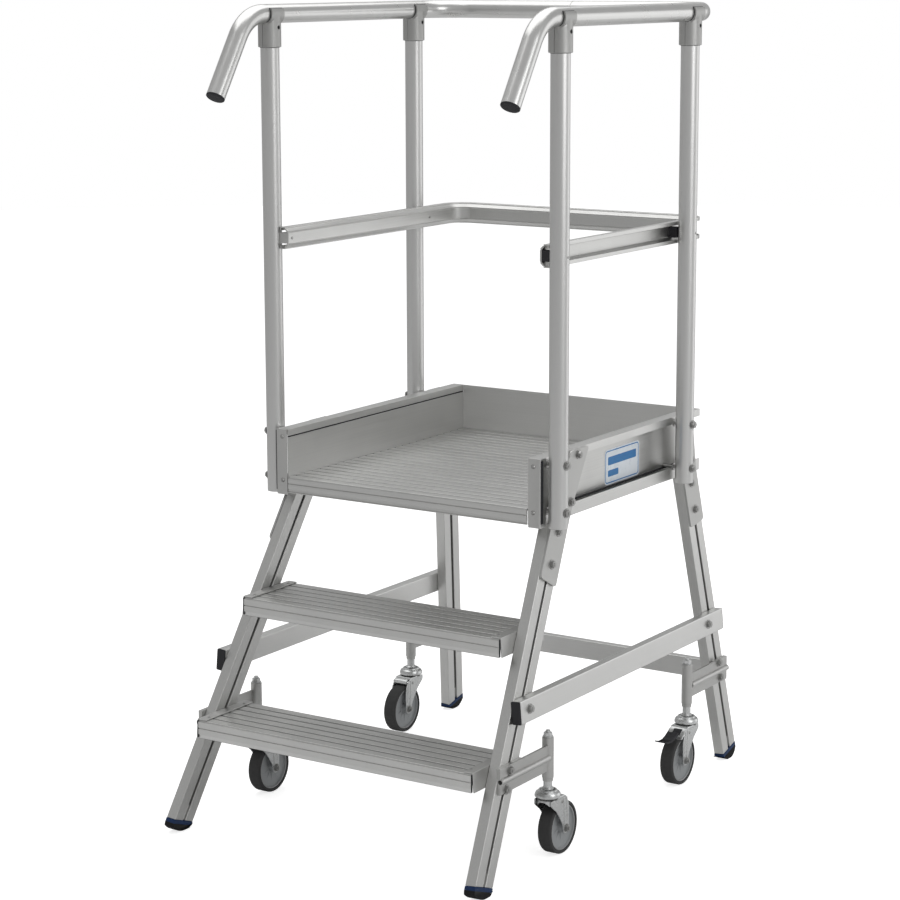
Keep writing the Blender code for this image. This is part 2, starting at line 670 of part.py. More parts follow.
def build_gussets(parent):
    """Bent plates that bolt each leg to its side beam."""
    face = BEAM_OUTER_X + GAP
    for line in LEG_LINES:
        rows = gusset_rows(line)
        for side, sign in SIDES.items():
            rings = []
            for front, rear in rows:
                ring = []
                for out, pair in ((0.0, (front, rear)), (GUSSET_THICKNESS, (rear, front))):
                    for y, z in pair:
                        ring.append((sign * (max(face, leg_outer_x(z) + GAP) + out), y, z))
                rings.append(ring)
            name = f"gusset_{line.name}_{side}"
            place(name, loft(name, rings, False), "aluminium", parent)


# ================================================================ treads and braces
def tread_top(step):
    """Height of a tread, counted from 1 at the bottom."""
    return STEP_PITCH * step


def build_treads(parent):
    """Ribbed treads, each held between the front legs by two end brackets."""
    for step, name in ((1, "lower"), (2, "upper")):
        top = tread_top(step)
        front_y = FRONT_LEG.face_y(top) - TREAD_OVERHANG
        outline = plank_outline(front_y, TREAD_DEPTH, top, TREAD_HEIGHT, 1)
        flange_top = top + GAP + BRACKET_FLANGE_THICKNESS
        half = leg_inner_x(flange_top) - GAP - BRACKET_PLATE - GAP
        ends = [[(x, y, z) for y, z in outline] for x in (-half, half)]
        place(f"tread_{name}", prism(f"tread_{name}", [ends[0]], [ends[1]]), "aluminium", parent)
        bottom = top - TREAD_HEIGHT
        outer = [(leg_inner_x(z) - GAP, z) for z in (bottom, flange_top)]
        flange_end = half + GAP - BRACKET_FLANGE
        section = outer + [(flange_end, flange_top), (flange_end, top + GAP),
                           (leg_inner_x(top + GAP) - GAP - BRACKET_PLATE, top + GAP),
                           (outer[0][0] - BRACKET_PLATE, bottom)]
        for side, sign in SIDES.items():
            loops = [[(sign * x, y, z) for x, z in section] for y in (front_y, front_y + TREAD_DEPTH)]
            bracket = f"tread_bracket_{name}_{side}"
            place(bracket, prism(bracket, [loops[0]], [loops[1]]), "aluminium", parent)


def build_side_braces(parent):
    """Flat tubes along each side, tilted to lie on the legs' outer faces."""
    size = math.hypot(1.0, SPLAY)
    up = (-SPLAY / size, 1.0 / size)
    out = (1.0 / size, SPLAY / size)
    base = (leg_outer_x(SIDE_BRACE_Z), SIDE_BRACE_Z)
    front = FRONT_LEG.face_y(SIDE_BRACE_Z) + SIDE_BRACE_FRONT_INSET
    rear = REAR_LEG.face_y(SIDE_BRACE_Z) + REAR_LEG.depth - SIDE_BRACE_REAR_INSET

    def section(inset):
        half = SIDE_BRACE_HEIGHT / 2.0 - inset
        near, far = GAP + inset, SIDE_BRACE_THICKNESS - inset
        corners = ((-half, near), (-half, far), (half, far), (half, near))
        return [(base[0] + up[0] * a + out[0] * b, base[1] + up[1] * a + out[1] * b) for a, b in corners]

    for side, sign in SIDES.items():
        ends = []
        for y in (front, rear):
            ends.append([[(sign * x, y, z) for x, z in section(inset)] for inset in (0.0, SIDE_BRACE_WALL)])
        name = "side_brace_" + side
        place(name, prism(name, ends[0], ends[1]), "aluminium", parent)


def build_rear_brace(parent):
    """Cross tube between the rear legs, cut to their slope."""
    front = REAR_LEG.face_y(REAR_BRACE_Z) + REAR_BRACE_INSET

    def section(inset):
        half = REAR_BRACE_HEIGHT / 2.0 - inset
        low, high = REAR_BRACE_Z - half, REAR_BRACE_Z + half
        near, far = front + inset, front + REAR_BRACE_THICKNESS - inset
        return [(near, low), (far, low), (far, high), (near, high)]

    ends = []
    for sign in (-1.0, 1.0):
        loops = [section(0.0), section(SIDE_BRACE_WALL)]
        ends.append([[(sign * (leg_inner_x(z) - GAP), y, z) for y, z in loop] for loop in loops])
    place("rear_brace", prism("rear_brace", ends[0], ends[1]), "aluminium", parent)


# ================================================================ casters
def arm_face_x():
    """Inner face of the caster arms, just clear of the splayed legs."""
    return leg_outer_x(ARM_CENTRE_Z - ARM_HEIGHT / 2.0) + GAP


def caster_axis_x():
    """X of the swivel axes on the right side."""
    return leg_outer_x(ARM_CENTRE_Z) + CASTER_X_FROM_LEG


def build_caster_arms(parent):
    """Arms bolted to the legs, each with a ribbed plate, a wedge to the splayed leg and a sleeve."""
    low, high = ARM_CENTRE_Z - ARM_HEIGHT / 2.0, ARM_CENTRE_Z + ARM_HEIGHT / 2.0
    face, axis = arm_face_x(), caster_axis_x()
    bore = STEM_RADIUS + RUNNING_GAP
    sleeve_wall_middle = (bore + SLEEVE_RADIUS) / 2.0
    plate_shift = face + ARM_THICKNESS - axis
    reach = math.sqrt(max(0.0, sleeve_wall_middle ** 2 - (plate_shift / 2.0) ** 2))
    for caster in CASTERS:
        line, inward = caster.leg, caster.trail
        far = line.outer_edge_y(ARM_CENTRE_Z)
        near = caster.axis_y - inward * reach
        leg_end = line.inner_edge_y(high) if inward > 0 else line.inner_edge_y(low)
        top, bottom = caster.sleeve_top, caster.sleeve_bottom
        stud_bore, spring_top = STUD_RADIUS + RUNNING_GAP, top - SLEEVE_TOP_WALL
        profile = [(SLEEVE_RADIUS, bottom), (SLEEVE_RADIUS, top), (stud_bore, top),
                   (stud_bore, spring_top), (bore, spring_top), (bore, bottom)]
        for side, sign in SIDES.items():
            name = f"caster_arm_{line.name}_{side}"
            wedge = [(leg_outer_x(low) + GAP, low), (leg_outer_x(high) + GAP, high),
                     (face + ARM_THICKNESS, high), (face + ARM_THICKNESS, low)]
            plate = [(face, low), (face, high), (face + ARM_THICKNESS, high), (face + ARM_THICKNESS, low)]
            rib_centre = (face + ARM_THICKNESS - GAP, ARM_CENTRE_Z)
            rib = arc(rib_centre, ARM_RIB_RADIUS, -math.pi / 2.0, math.pi / 2.0, 6)

            def bar(label, outline, start, end):
                loops = [[(sign * x, y, z) for x, z in outline] for y in (start, end)]
                return prism(label, [loops[0]], [loops[1]])

            sleeve = turned("sleeve", profile, TURNED_SIDES, True)
            for vertex in sleeve.vertices:
                vertex.co += Vector((sign * axis, caster.axis_y, 0.0))
            steps = [("UNION", bar("wedge", wedge, far, leg_end)), ("UNION", sleeve),
                     ("UNION", bar("rib", rib, far + inward * GAP, near))]
            mesh = combine(name, bar("plate", plate, far, near), steps)
            place(name, mesh, "aluminium", parent)


def stem_mesh(caster):
    """Caster stem about its own axis: king pin, thick shank, stud and nut above the sleeve."""
    nut = caster.sleeve_top + GAP
    shoulder = caster.sleeve_top - 0.030
    foot = HEAD_TOP_Z + GAP
    profile = [(KING_PIN_RADIUS, HEAD_BOTTOM_Z - 0.002), (KING_PIN_RADIUS, foot), (STEM_RADIUS, foot),
               (STEM_RADIUS, shoulder), (STUD_RADIUS, shoulder), (STUD_RADIUS, nut), (0.009, nut),
               (0.009, nut + 0.008), (STUD_RADIUS, nut + 0.008), (STUD_RADIUS, nut + 0.0125)]
    return turned("caster_stem_" + caster.leg.name, profile, TURNED_SIDES, False)


def fork_mesh(with_brake):
    """Fork about its swivel axis, wheel towards +Y: head, crown, two side plates and the axle bolt."""
    plate_in = WHEEL_WIDTH / 2.0 + FORK_SIDE_GAP
    plate_out = plate_in + FORK_PLATE
    bore = KING_PIN_RADIUS + RUNNING_GAP
    head = turned("head", [(bore, HEAD_BOTTOM_Z - 0.004), (bore, HEAD_TOP_Z), (0.014, HEAD_TOP_Z),
                           (0.022, HEAD_TOP_Z - 0.004), (HEAD_RADIUS, HEAD_TOP_Z - 0.010),
                           (HEAD_RADIUS, HEAD_BOTTOM_Z + 0.002), (0.022, HEAD_BOTTOM_Z - 0.004)], 24, True)
    axle_eye = arc((CASTER_TRAIL, AXLE_Z), 0.013, -math.pi * 0.95, math.pi * 0.05, 6)
    plate_top = HEAD_BOTTOM_Z + 0.001
    leading = [(-0.020, plate_top), (-0.012, 0.1150), (0.004, 0.1000), (0.0150, 0.0780)]
    plate = leading + axle_eye + [(0.0520, 0.1000), (0.0340, plate_top)]

    def slab(label, low_x, high_x):
        loops = [[(x, y, z) for y, z in plate] for x in (low_x, high_x)]
        return prism(label, [loops[0]], [loops[1]])

    crown_low = (-plate_out + GAP, bore + 0.002, AXLE_Z + WHEEL_RADIUS + 0.005)
    crown_high = (plate_out - GAP, 0.030 - GAP, HEAD_BOTTOM_Z + 0.003)
    front_low = (crown_low[0], -0.020 + GAP, crown_low[2] + 0.004)
    front_high = (crown_high[0], -bore - 0.002, crown_high[2] - GAP)
    nut = 0.007
    seat = plate_out - GAP
    end = plate_out + 0.004
    axle_profile = [(nut, -end), (nut, -seat), (AXLE_RADIUS, -seat),
                    (AXLE_RADIUS, seat), (nut, seat), (nut, end)]
    axle = turned("axle", axle_profile, TURNED_SIDES, False, along_x=True)
    for vertex in axle.vertices:
        vertex.co += Vector((0.0, CASTER_TRAIL, AXLE_Z))
    steps = [("UNION", slab("plate_a", plate_in, plate_out)),
             ("UNION", slab("plate_b", -plate_out, -plate_in)),
             ("UNION", box_mesh("crown", crown_low, crown_high)),
             ("UNION", box_mesh("crown_front", front_low, front_high)),
             ("UNION", axle)]
    if with_brake:
        housing_low = (-plate_in, 0.028, crown_low[2])
        housing_high = (plate_in, PEDAL_HINGE_OFFSET - 0.0055, HEAD_BOTTOM_Z + 0.0015)
        steps.append(("UNION", box_mesh("housing", housing_low, housing_high)))
    return combine("caster_fork", head, steps)


def hub_mesh():
    """Wheel centre about the X axis: boss, web and rim in one ring round the axle."""
    bore = AXLE_RADIUS + RUNNING_GAP
    boss, web, rim = WHEEL_WIDTH / 2.0 + FORK_SIDE_GAP / 2.0, 0.005, 0.013
    rim_inner = HUB_RIM_RADIUS - HUB_RIM_WALL
    half = [(bore, boss), (0.010, boss), (0.012, web), (rim_inner - 0.002, web), (rim_inner, rim),
            (HUB_RIM_RADIUS, rim)]
    profile = half + [(radius, -height) for radius, height in reversed(half)]
    return turned("wheel_hub", profile, HUB_SIDES, True, along_x=True)


def tyre_mesh():
    """Tyre about the X axis, round-shouldered."""
    inner, half = HUB_RIM_RADIUS + GAP, WHEEL_WIDTH / 2.0
    side = [(inner, half - 0.003), (WHEEL_RADIUS - 0.006, half), (WHEEL_RADIUS - 0.002, half - 0.004),
            (WHEEL_RADIUS, half - 0.010)]
    profile = side + [(radius, -height) for radius, height in reversed(side)]
    return turned("tyre", profile, WHEEL_SIDES, True, along_x=True)


def pedal_mesh():
    """Brake pedal about its own hinge, tip towards +Y."""
    length = PEDAL_TIP_OFFSET - PEDAL_HINGE_OFFSET
    knuckle = arc((0.0, 0.0), 0.0042, math.pi / 2.0, math.pi * 1.5, 6)
    outline = knuckle + [(0.012, -0.0085), (length * 0.45, -0.0110), (length * 0.75, -0.0095),
                         (length, -0.0045), (length - 0.001, -0.0020), (length * 0.72, -0.0060),
                         (length * 0.40, -0.0055)]
    loops = [[(x, y, z) for y, z in outline] for x in (-0.013, 0.013)]
    return prism("brake_pedal", [loops[0]], [loops[1]])


def build_casters(parent):
    """Four sprung swivel casters; the right rear one has a brake pedal."""
    hub, tyre = hub_mesh(), tyre_mesh()
    forks = {False: fork_mesh(False), True: fork_mesh(True)}
    for caster in CASTERS:
        row = caster.leg.name
        stem = stem_mesh(caster)
        turn = 0.0 if caster.trail > 0 else math.pi
        for side, sign in SIDES.items():
            braked = row == "rear" and side == "right"
            swivel_place = (sign * caster_axis_x(), caster.axis_y, 0.0)
            swivel = empty(f"swivel_axis_{row}_{side}", parent, swivel_place, turn)
            axle = empty(f"axle_axis_{row}_{side}", swivel, (0.0, CASTER_TRAIL, AXLE_Z))
            place(f"caster_stem_{row}_{side}", stem, "zinc", swivel, smooth=True)
            place(f"caster_fork_{row}_{side}", forks[braked], "zinc", swivel, smooth=True)
            place(f"wheel_hub_{row}_{side}", hub, "hub", axle, smooth=True)
            place(f"wheel_tyre_{row}_{side}", tyre, "rubber", axle, smooth=True)
            if braked:
                hinge = empty("pedal_axis", swivel, (0.0, PEDAL_HINGE_OFFSET, PEDAL_HINGE_Z))
                place("brake_pedal", pedal_mesh(), "black", hinge)


def ladder_middle_y():
    """Middle of the ladder's box in Y, from the toes of the front and rear feet."""
    front = min(y for y, z in foot_outline(FRONT_LEG, 0.0) + foot_outline(FRONT_LEG, LEG_THICKNESS))
    rear = max(y for y, z in foot_outline(REAR_LEG, 0.0) + foot_outline(REAR_LEG, LEG_THICKNESS))
    return (front + rear) / 2.0


def main():
    """Clear the scene and build every sub-part under one origin."""
    for old in list(bpy.data.objects):
        bpy.data.objects.remove(old)
    origin = empty("assembly_origin", None, (0.0, -ladder_middle_y(), 0.0))
    build_legs(origin)
    build_feet(origin)
    build_side_beams(origin)
    build_deck(origin)
    build_corner_angles(origin)
    build_gussets(origin)
    build_posts(origin)
    build_top_rail(origin)
    build_rail_clamps(origin)
    build_knee_rail(origin)
    build_treads(origin)
    build_side_braces(origin)
    build_rear_brace(origin)
    build_caster_arms(origin)
    build_casters(origin)


main()
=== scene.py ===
"""Looks of a rolling warehouse ladder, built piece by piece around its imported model.

Bench coordinates: +X is the climber's right, +Y runs from the steps to the platform's rear, +Z is up,
and Y is zero on the axis of the front posts. Workshop.publish carries a finished mesh from the bench to
the frame. Lengths are metres.
"""
from __future__ import annotations

import logging
import math
from collections.abc import Callable, Iterable, Sequence
from dataclasses import dataclass
from enum import Enum

import bmesh
import bpy
from mathutils import Matrix, Vector
from mathutils.geometry import tessellate_polygon


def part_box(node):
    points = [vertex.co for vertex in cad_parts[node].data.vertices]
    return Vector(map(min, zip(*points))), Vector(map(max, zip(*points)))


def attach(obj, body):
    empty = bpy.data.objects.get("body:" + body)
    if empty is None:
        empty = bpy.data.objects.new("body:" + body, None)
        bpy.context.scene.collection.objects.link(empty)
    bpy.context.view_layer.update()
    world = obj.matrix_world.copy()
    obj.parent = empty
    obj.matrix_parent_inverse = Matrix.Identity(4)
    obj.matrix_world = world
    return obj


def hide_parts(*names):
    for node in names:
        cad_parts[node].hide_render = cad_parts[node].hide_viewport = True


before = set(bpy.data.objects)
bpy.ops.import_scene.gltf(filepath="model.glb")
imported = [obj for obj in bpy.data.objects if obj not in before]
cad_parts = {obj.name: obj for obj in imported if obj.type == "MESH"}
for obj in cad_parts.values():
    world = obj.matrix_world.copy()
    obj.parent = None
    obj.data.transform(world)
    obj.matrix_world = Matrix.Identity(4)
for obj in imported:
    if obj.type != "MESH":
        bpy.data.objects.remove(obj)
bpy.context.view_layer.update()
LOG = logging.getLogger("ladder")

Flat = tuple[float, float]
Mesh = bpy.types.Mesh

GAP = 0.0003
MAIN_BODY = "ladder"


class Side(Enum):
    """The two sides of the ladder, as the climber sees them; the value is the sign of X."""

    LEFT = -1.0
    RIGHT = 1.0

    @property
    def label(self) -> str:
        """Word used in node names."""
        return self.name.lower()


class Grain(Enum):
    """Which way the drawn lines of a metal run; the value is the stretch of the pattern along X, Y and Z."""

    ALONG_X = (0.006, 1.0, 1.0)
    ALONG_Y = (1.0, 0.006, 1.0)
    ALONG_Z = (1.0, 1.0, 0.006)
    EVEN = (1.0, 1.0, 1.0)


# ==================================================================== finishes
class NodeSheet:
    """Small helper that adds and links shader nodes in one material."""

    def __init__(self, name: str) -> None:
        """Start a material with an empty Principled BSDF.

        Args:
            name: The material's name.
        """
        self.material = bpy.data.materials.new(name)
        self.material.use_nodes = True
        self.tree = self.material.node_tree
        self.shader = self.tree.nodes["Principled BSDF"]

    def add(self, kind: str, inputs: dict[str | int, object] | None = None,
            **settings: object) -> bpy.types.Node:
        """Add a node.

        Args:
            kind: The node's type name.
            inputs: Values or sockets for its inputs.
            settings: Attributes of the node itself.

        Returns:
            The new node.
        """
        node = self.tree.nodes.new(kind)
        for key, value in settings.items():
            setattr(node, key, value)
        for key, value in (inputs or {}).items():
            if isinstance(value, bpy.types.NodeSocket):
                self.tree.links.new(value, node.inputs[key])
            else:
                node.inputs[key].default_value = value
        return node

    def noise(self, scale: Sequence[float], detail: float,
              turn: Sequence[float] = (0.0, 0.0, 0.0)) -> bpy.types.NodeSocket:
        """Noise on the piece's own coordinates.

        Args:
            scale: Cells per metre along X, Y and Z.
            detail: Octaves of the noise.
            turn: Rotation of the pattern in radians.

        Returns:
            The noise's value socket.
        """
        place = self.add("ShaderNodeTexCoord")
        mapping = self.add("ShaderNodeMapping",
                           {"Vector": place.outputs["Object"], "Rotation": turn, "Scale": scale})
        noise = self.add("ShaderNodeTexNoise",
                         {"Vector": mapping.outputs["Vector"], "Scale": 1.0, "Detail": detail})
        return noise.outputs["Fac"]

    def span(self, value: bpy.types.NodeSocket, low: float, high: float) -> bpy.types.NodeSocket:
        """Map the middle of a noise to a span of values.

        Args:
            value: The noise.
            low: Result where the noise is weak.
            high: Result where the noise is strong.

        Returns:
            The mapped value socket.
        """
        inputs = {0: value, 1: 0.3, 2: 0.7, 3: low, 4: high}
        return self.add("ShaderNodeMapRange", inputs).outputs[0]

    def blend(self, share: bpy.types.NodeSocket, first: Sequence[float],
              second: Sequence[float]) -> bpy.types.NodeSocket:
        """Mix two colours.

        Args:
            share: How much of the second colour shows.
            first: First colour.
            second: Second colour.

        Returns:
            The mixed colour socket.
        """
        mix = self.add("ShaderNodeMix", {"Factor": share}, data_type="RGBA")
        mix.inputs["A"].default_value = (*first, 1.0)
        mix.inputs["B"].default_value = (*second, 1.0)
        return mix.outputs["Result"]

    def wire(self, **sockets: object) -> None:
        """Link sockets to, or set numbers on, the shader's inputs.

        Args:
            sockets: Input names with underscores for spaces, and their sources.
        """
        for key, value in sockets.items():
            socket = self.shader.inputs[key.replace("_", " ")]
            if isinstance(value, bpy.types.NodeSocket):
                self.tree.links.new(value, socket)
            else:
                socket.default_value = value

    def bump(self, height: bpy.types.NodeSocket, strength: float, distance: float) -> bpy.types.NodeSocket:
        """Surface relief from a height.

        Args:
            height: Source of the relief.
            strength: How strongly it shows.
            distance: Its real height in metres.

        Returns:
            The normal socket.
        """
        inputs = {"Height": height, "Strength": strength, "Distance": distance}
        return self.add("ShaderNodeBump", inputs).outputs["Normal"]


@dataclass(frozen=True)
class Finish:
    """Base of all finishes: a name and a way to make its material once."""

    name: str

    def material(self) -> bpy.types.Material:
        """The finish's material, made on first use."""
        return bpy.data.materials.get(self.name) or self.make()

    def make(self) -> bpy.types.Material:
        """Build the material; each kind of finish says how."""
        raise NotImplementedError


@dataclass(frozen=True)
class MetalFinish(Finish):
    """Bare or plated metal with drawn lines, cloudy patches and brighter worn edges."""

    light: tuple[float, float, float] = (0.66, 0.66, 0.645)
    dark: tuple[float, float, float] = (0.57, 0.57, 0.56)
    worn: tuple[float, float, float] = (0.80, 0.80, 0.79)
    roughness: tuple[float, float] = (0.30, 0.42)
    grain: Grain = Grain.EVEN
    lines_per_metre: float = 420.0
    relief: float = 0.00004
    turn: tuple[float, float, float] = (0.0, 0.0, 0.0)

    def make(self) -> bpy.types.Material:
        """Build the metal."""
        sheet = NodeSheet(self.name)
        scale = [self.lines_per_metre * part for part in self.grain.value]
        lines = sheet.noise(scale, 3.0, self.turn)
        clouds = sheet.noise((9.0, 9.0, 9.0), 2.0)
        cells = sheet.noise([1500.0 * part for part in self.grain.value], 1.0, self.turn)
        shade = sheet.add("ShaderNodeMix", {"Factor": 0.45, "A": lines, "B": clouds}).outputs["Result"]
        base = sheet.blend(sheet.span(shade, 0.0, 1.0), self.dark, self.light)
        pointed = sheet.add("ShaderNodeNewGeometry").outputs["Pointiness"]
        edge = sheet.add("ShaderNodeMapRange", {0: pointed, 1: 0.53, 2: 0.62, 3: 0.0, 4: 0.55}).outputs[0]
        mix = sheet.add("ShaderNodeMix", {"Factor": edge}, data_type="RGBA")
        sheet.tree.links.new(base, mix.inputs["A"])
        mix.inputs["B"].default_value = (*self.worn, 1.0)
        sheet.wire(Base_Color=mix.outputs["Result"], Metallic=1.0,
                   Roughness=sheet.span(lines, *self.roughness))
        sheet.wire(Normal=sheet.bump(cells, 0.35, self.relief))
        return sheet.material


@dataclass(frozen=True)
class PlasticFinish(Finish):
    """Moulded plastic or rubber: fine pebble, faint mottling, scuffed edges."""

    colour: tuple[float, float, float] = (0.02, 0.02, 0.022)
    pale: tuple[float, float, float] = (0.035, 0.035, 0.037)
    scuffed: tuple[float, float, float] = (0.09, 0.09, 0.09)
    roughness: tuple[float, float] = (0.45, 0.6)
    cells_per_metre: float = 900.0
    relief: float = 0.0001
    sheen: float = 0.18

    def make(self) -> bpy.types.Material:
        """Build the plastic."""
        sheet = NodeSheet(self.name)
        pebble = sheet.noise([self.cells_per_metre] * 3, 2.0)
        mottle = sheet.noise((55.0, 55.0, 55.0), 3.0)
        base = sheet.blend(sheet.span(mottle, 0.0, 1.0), self.colour, self.pale)
        pointed = sheet.add("ShaderNodeNewGeometry").outputs["Pointiness"]
        edge = sheet.add("ShaderNodeMapRange", {0: pointed, 1: 0.54, 2: 0.66, 3: 0.0, 4: 0.5}).outputs[0]
        mix = sheet.add("ShaderNodeMix", {"Factor": edge}, data_type="RGBA")
        sheet.tree.links.new(base, mix.inputs["A"])
        mix.inputs["B"].default_value = (*self.scuffed, 1.0)
        sheet.wire(Base_Color=mix.outputs["Result"], Roughness=sheet.span(mottle, *self.roughness))
        sheet.wire(Normal=sheet.bump(pebble, 0.4, self.relief), Specular_IOR_Level=self.sheen)
        return sheet.material


DRAWN_X = MetalFinish("aluminium_drawn_x", grain=Grain.ALONG_X)
DRAWN_Y = MetalFinish("aluminium_drawn_y", grain=Grain.ALONG_Y)
FRONT_LEG_METAL = MetalFinish("aluminium_front_leg", grain=Grain.ALONG_Z, turn=(math.radians(30.0), 0.0, 0.0))
REAR_LEG_METAL = MetalFinish("aluminium_rear_leg", grain=Grain.ALONG_Z, turn=(math.radians(-10.0), 0.0, 0.0))
TUBE_METAL = MetalFinish("aluminium_tube", light=(0.70, 0.70, 0.69), dark=(0.63, 0.63, 0.62),
                         roughness=(0.20, 0.30), grain=Grain.ALONG_Z, relief=0.00002)
RAIL_METAL = MetalFinish("aluminium_rail_tube", light=(0.69, 0.69, 0.68), dark=(0.64, 0.64, 0.63),
                         roughness=(0.27, 0.30), lines_per_metre=30.0, relief=0.0)
# Lighter than the other aluminium: painted light on the rear toe board, whose face the lamps leave darker.
BOARD_PAINTED_LIGHT_METAL = MetalFinish("aluminium_board", light=(0.80, 0.80, 0.79), dark=(0.74, 0.74, 0.73),
                          roughness=(0.44, 0.52), grain=Grain.ALONG_X)
CAST_METAL = MetalFinish("aluminium_cast", light=(0.42, 0.42, 0.41), dark=(0.35, 0.35, 0.345),
                         worn=(0.55, 0.55, 0.54), roughness=(0.42, 0.55), lines_per_metre=300.0,
                          relief=0.00012)
PLATE_METAL = MetalFinish("aluminium_plate", light=(0.55, 0.55, 0.54), dark=(0.49, 0.49, 0.48),
                          roughness=(0.38, 0.50), lines_per_metre=160.0)
ZINC = MetalFinish("zinc_plate", light=(0.68, 0.69, 0.69), dark=(0.58, 0.59, 0.59), roughness=(0.24, 0.38),
                   lines_per_metre=240.0)
BOLT_METAL = MetalFinish("bolt_zinc", light=(0.40, 0.40, 0.39), dark=(0.28, 0.28, 0.275),
                         worn=(0.75, 0.75, 0.74), roughness=(0.26, 0.40), lines_per_metre=500.0)
# Near-black metal that paints shade: on the groove floors of the deck and treads, at the bottoms of the leg
# slots and on the caster neck.
PAINTED_SHADE_METAL = MetalFinish("aluminium_groove", light=(0.11, 0.11, 0.107), dark=(0.07, 0.07, 0.069),
                           worn=(0.2, 0.2, 0.2), roughness=(0.5, 0.6), lines_per_metre=300.0)
# Black plastic of the plugs, caps, guard, insert and pedal; the same black also paints shade in the clamp
# seams, beam recesses, tread gaps, the right knee rail spacers and the fork shell.
BLACK_PLASTIC_AND_PAINTED_SHADE = PlasticFinish("black_plastic", colour=(0.010, 0.010, 0.011), pale=(0.016, 0.016, 0.017),
                              scuffed=(0.05, 0.05, 0.05))
SOLE_RUBBER = PlasticFinish("sole_rubber", colour=(0.009, 0.009, 0.010), pale=(0.015, 0.015, 0.016),
                            roughness=(0.6, 0.8))
COLLAR_PLASTIC = PlasticFinish("collar_plastic", colour=(0.008, 0.024, 0.075), pale=(0.013, 0.035, 0.105),
                               scuffed=(0.08, 0.13, 0.28), roughness=(0.35, 0.5))
TYRE_RUBBER = PlasticFinish("tyre_rubber", colour=(0.004, 0.004, 0.0042), pale=(0.007, 0.007, 0.0073),
                            scuffed=(0.02, 0.02, 0.02), roughness=(0.62, 0.8), cells_per_metre=500.0)
RIM_PLASTIC = PlasticFinish("hub_rim_plastic", colour=(0.30, 0.305, 0.31), pale=(0.36, 0.365, 0.37),
                            scuffed=(0.5, 0.5, 0.5), roughness=(0.36, 0.48))
HUB_PLASTIC = PlasticFinish("hub_plastic", colour=(0.165, 0.17, 0.175), pale=(0.21, 0.215, 0.22),
                            scuffed=(0.38, 0.38, 0.38), roughness=(0.40, 0.52))
LABEL_FILM = PlasticFinish("label_film", colour=(0.72, 0.78, 0.84), pale=(0.78, 0.83, 0.88),
                           scuffed=(0.85, 0.88, 0.9), roughness=(0.25, 0.35), relief=0.00003)
LABEL_INK = PlasticFinish("label_ink", colour=(0.03, 0.17, 0.42), pale=(0.04, 0.20, 0.47),
                          scuffed=(0.1, 0.28, 0.55), roughness=(0.28, 0.38), relief=0.00003)


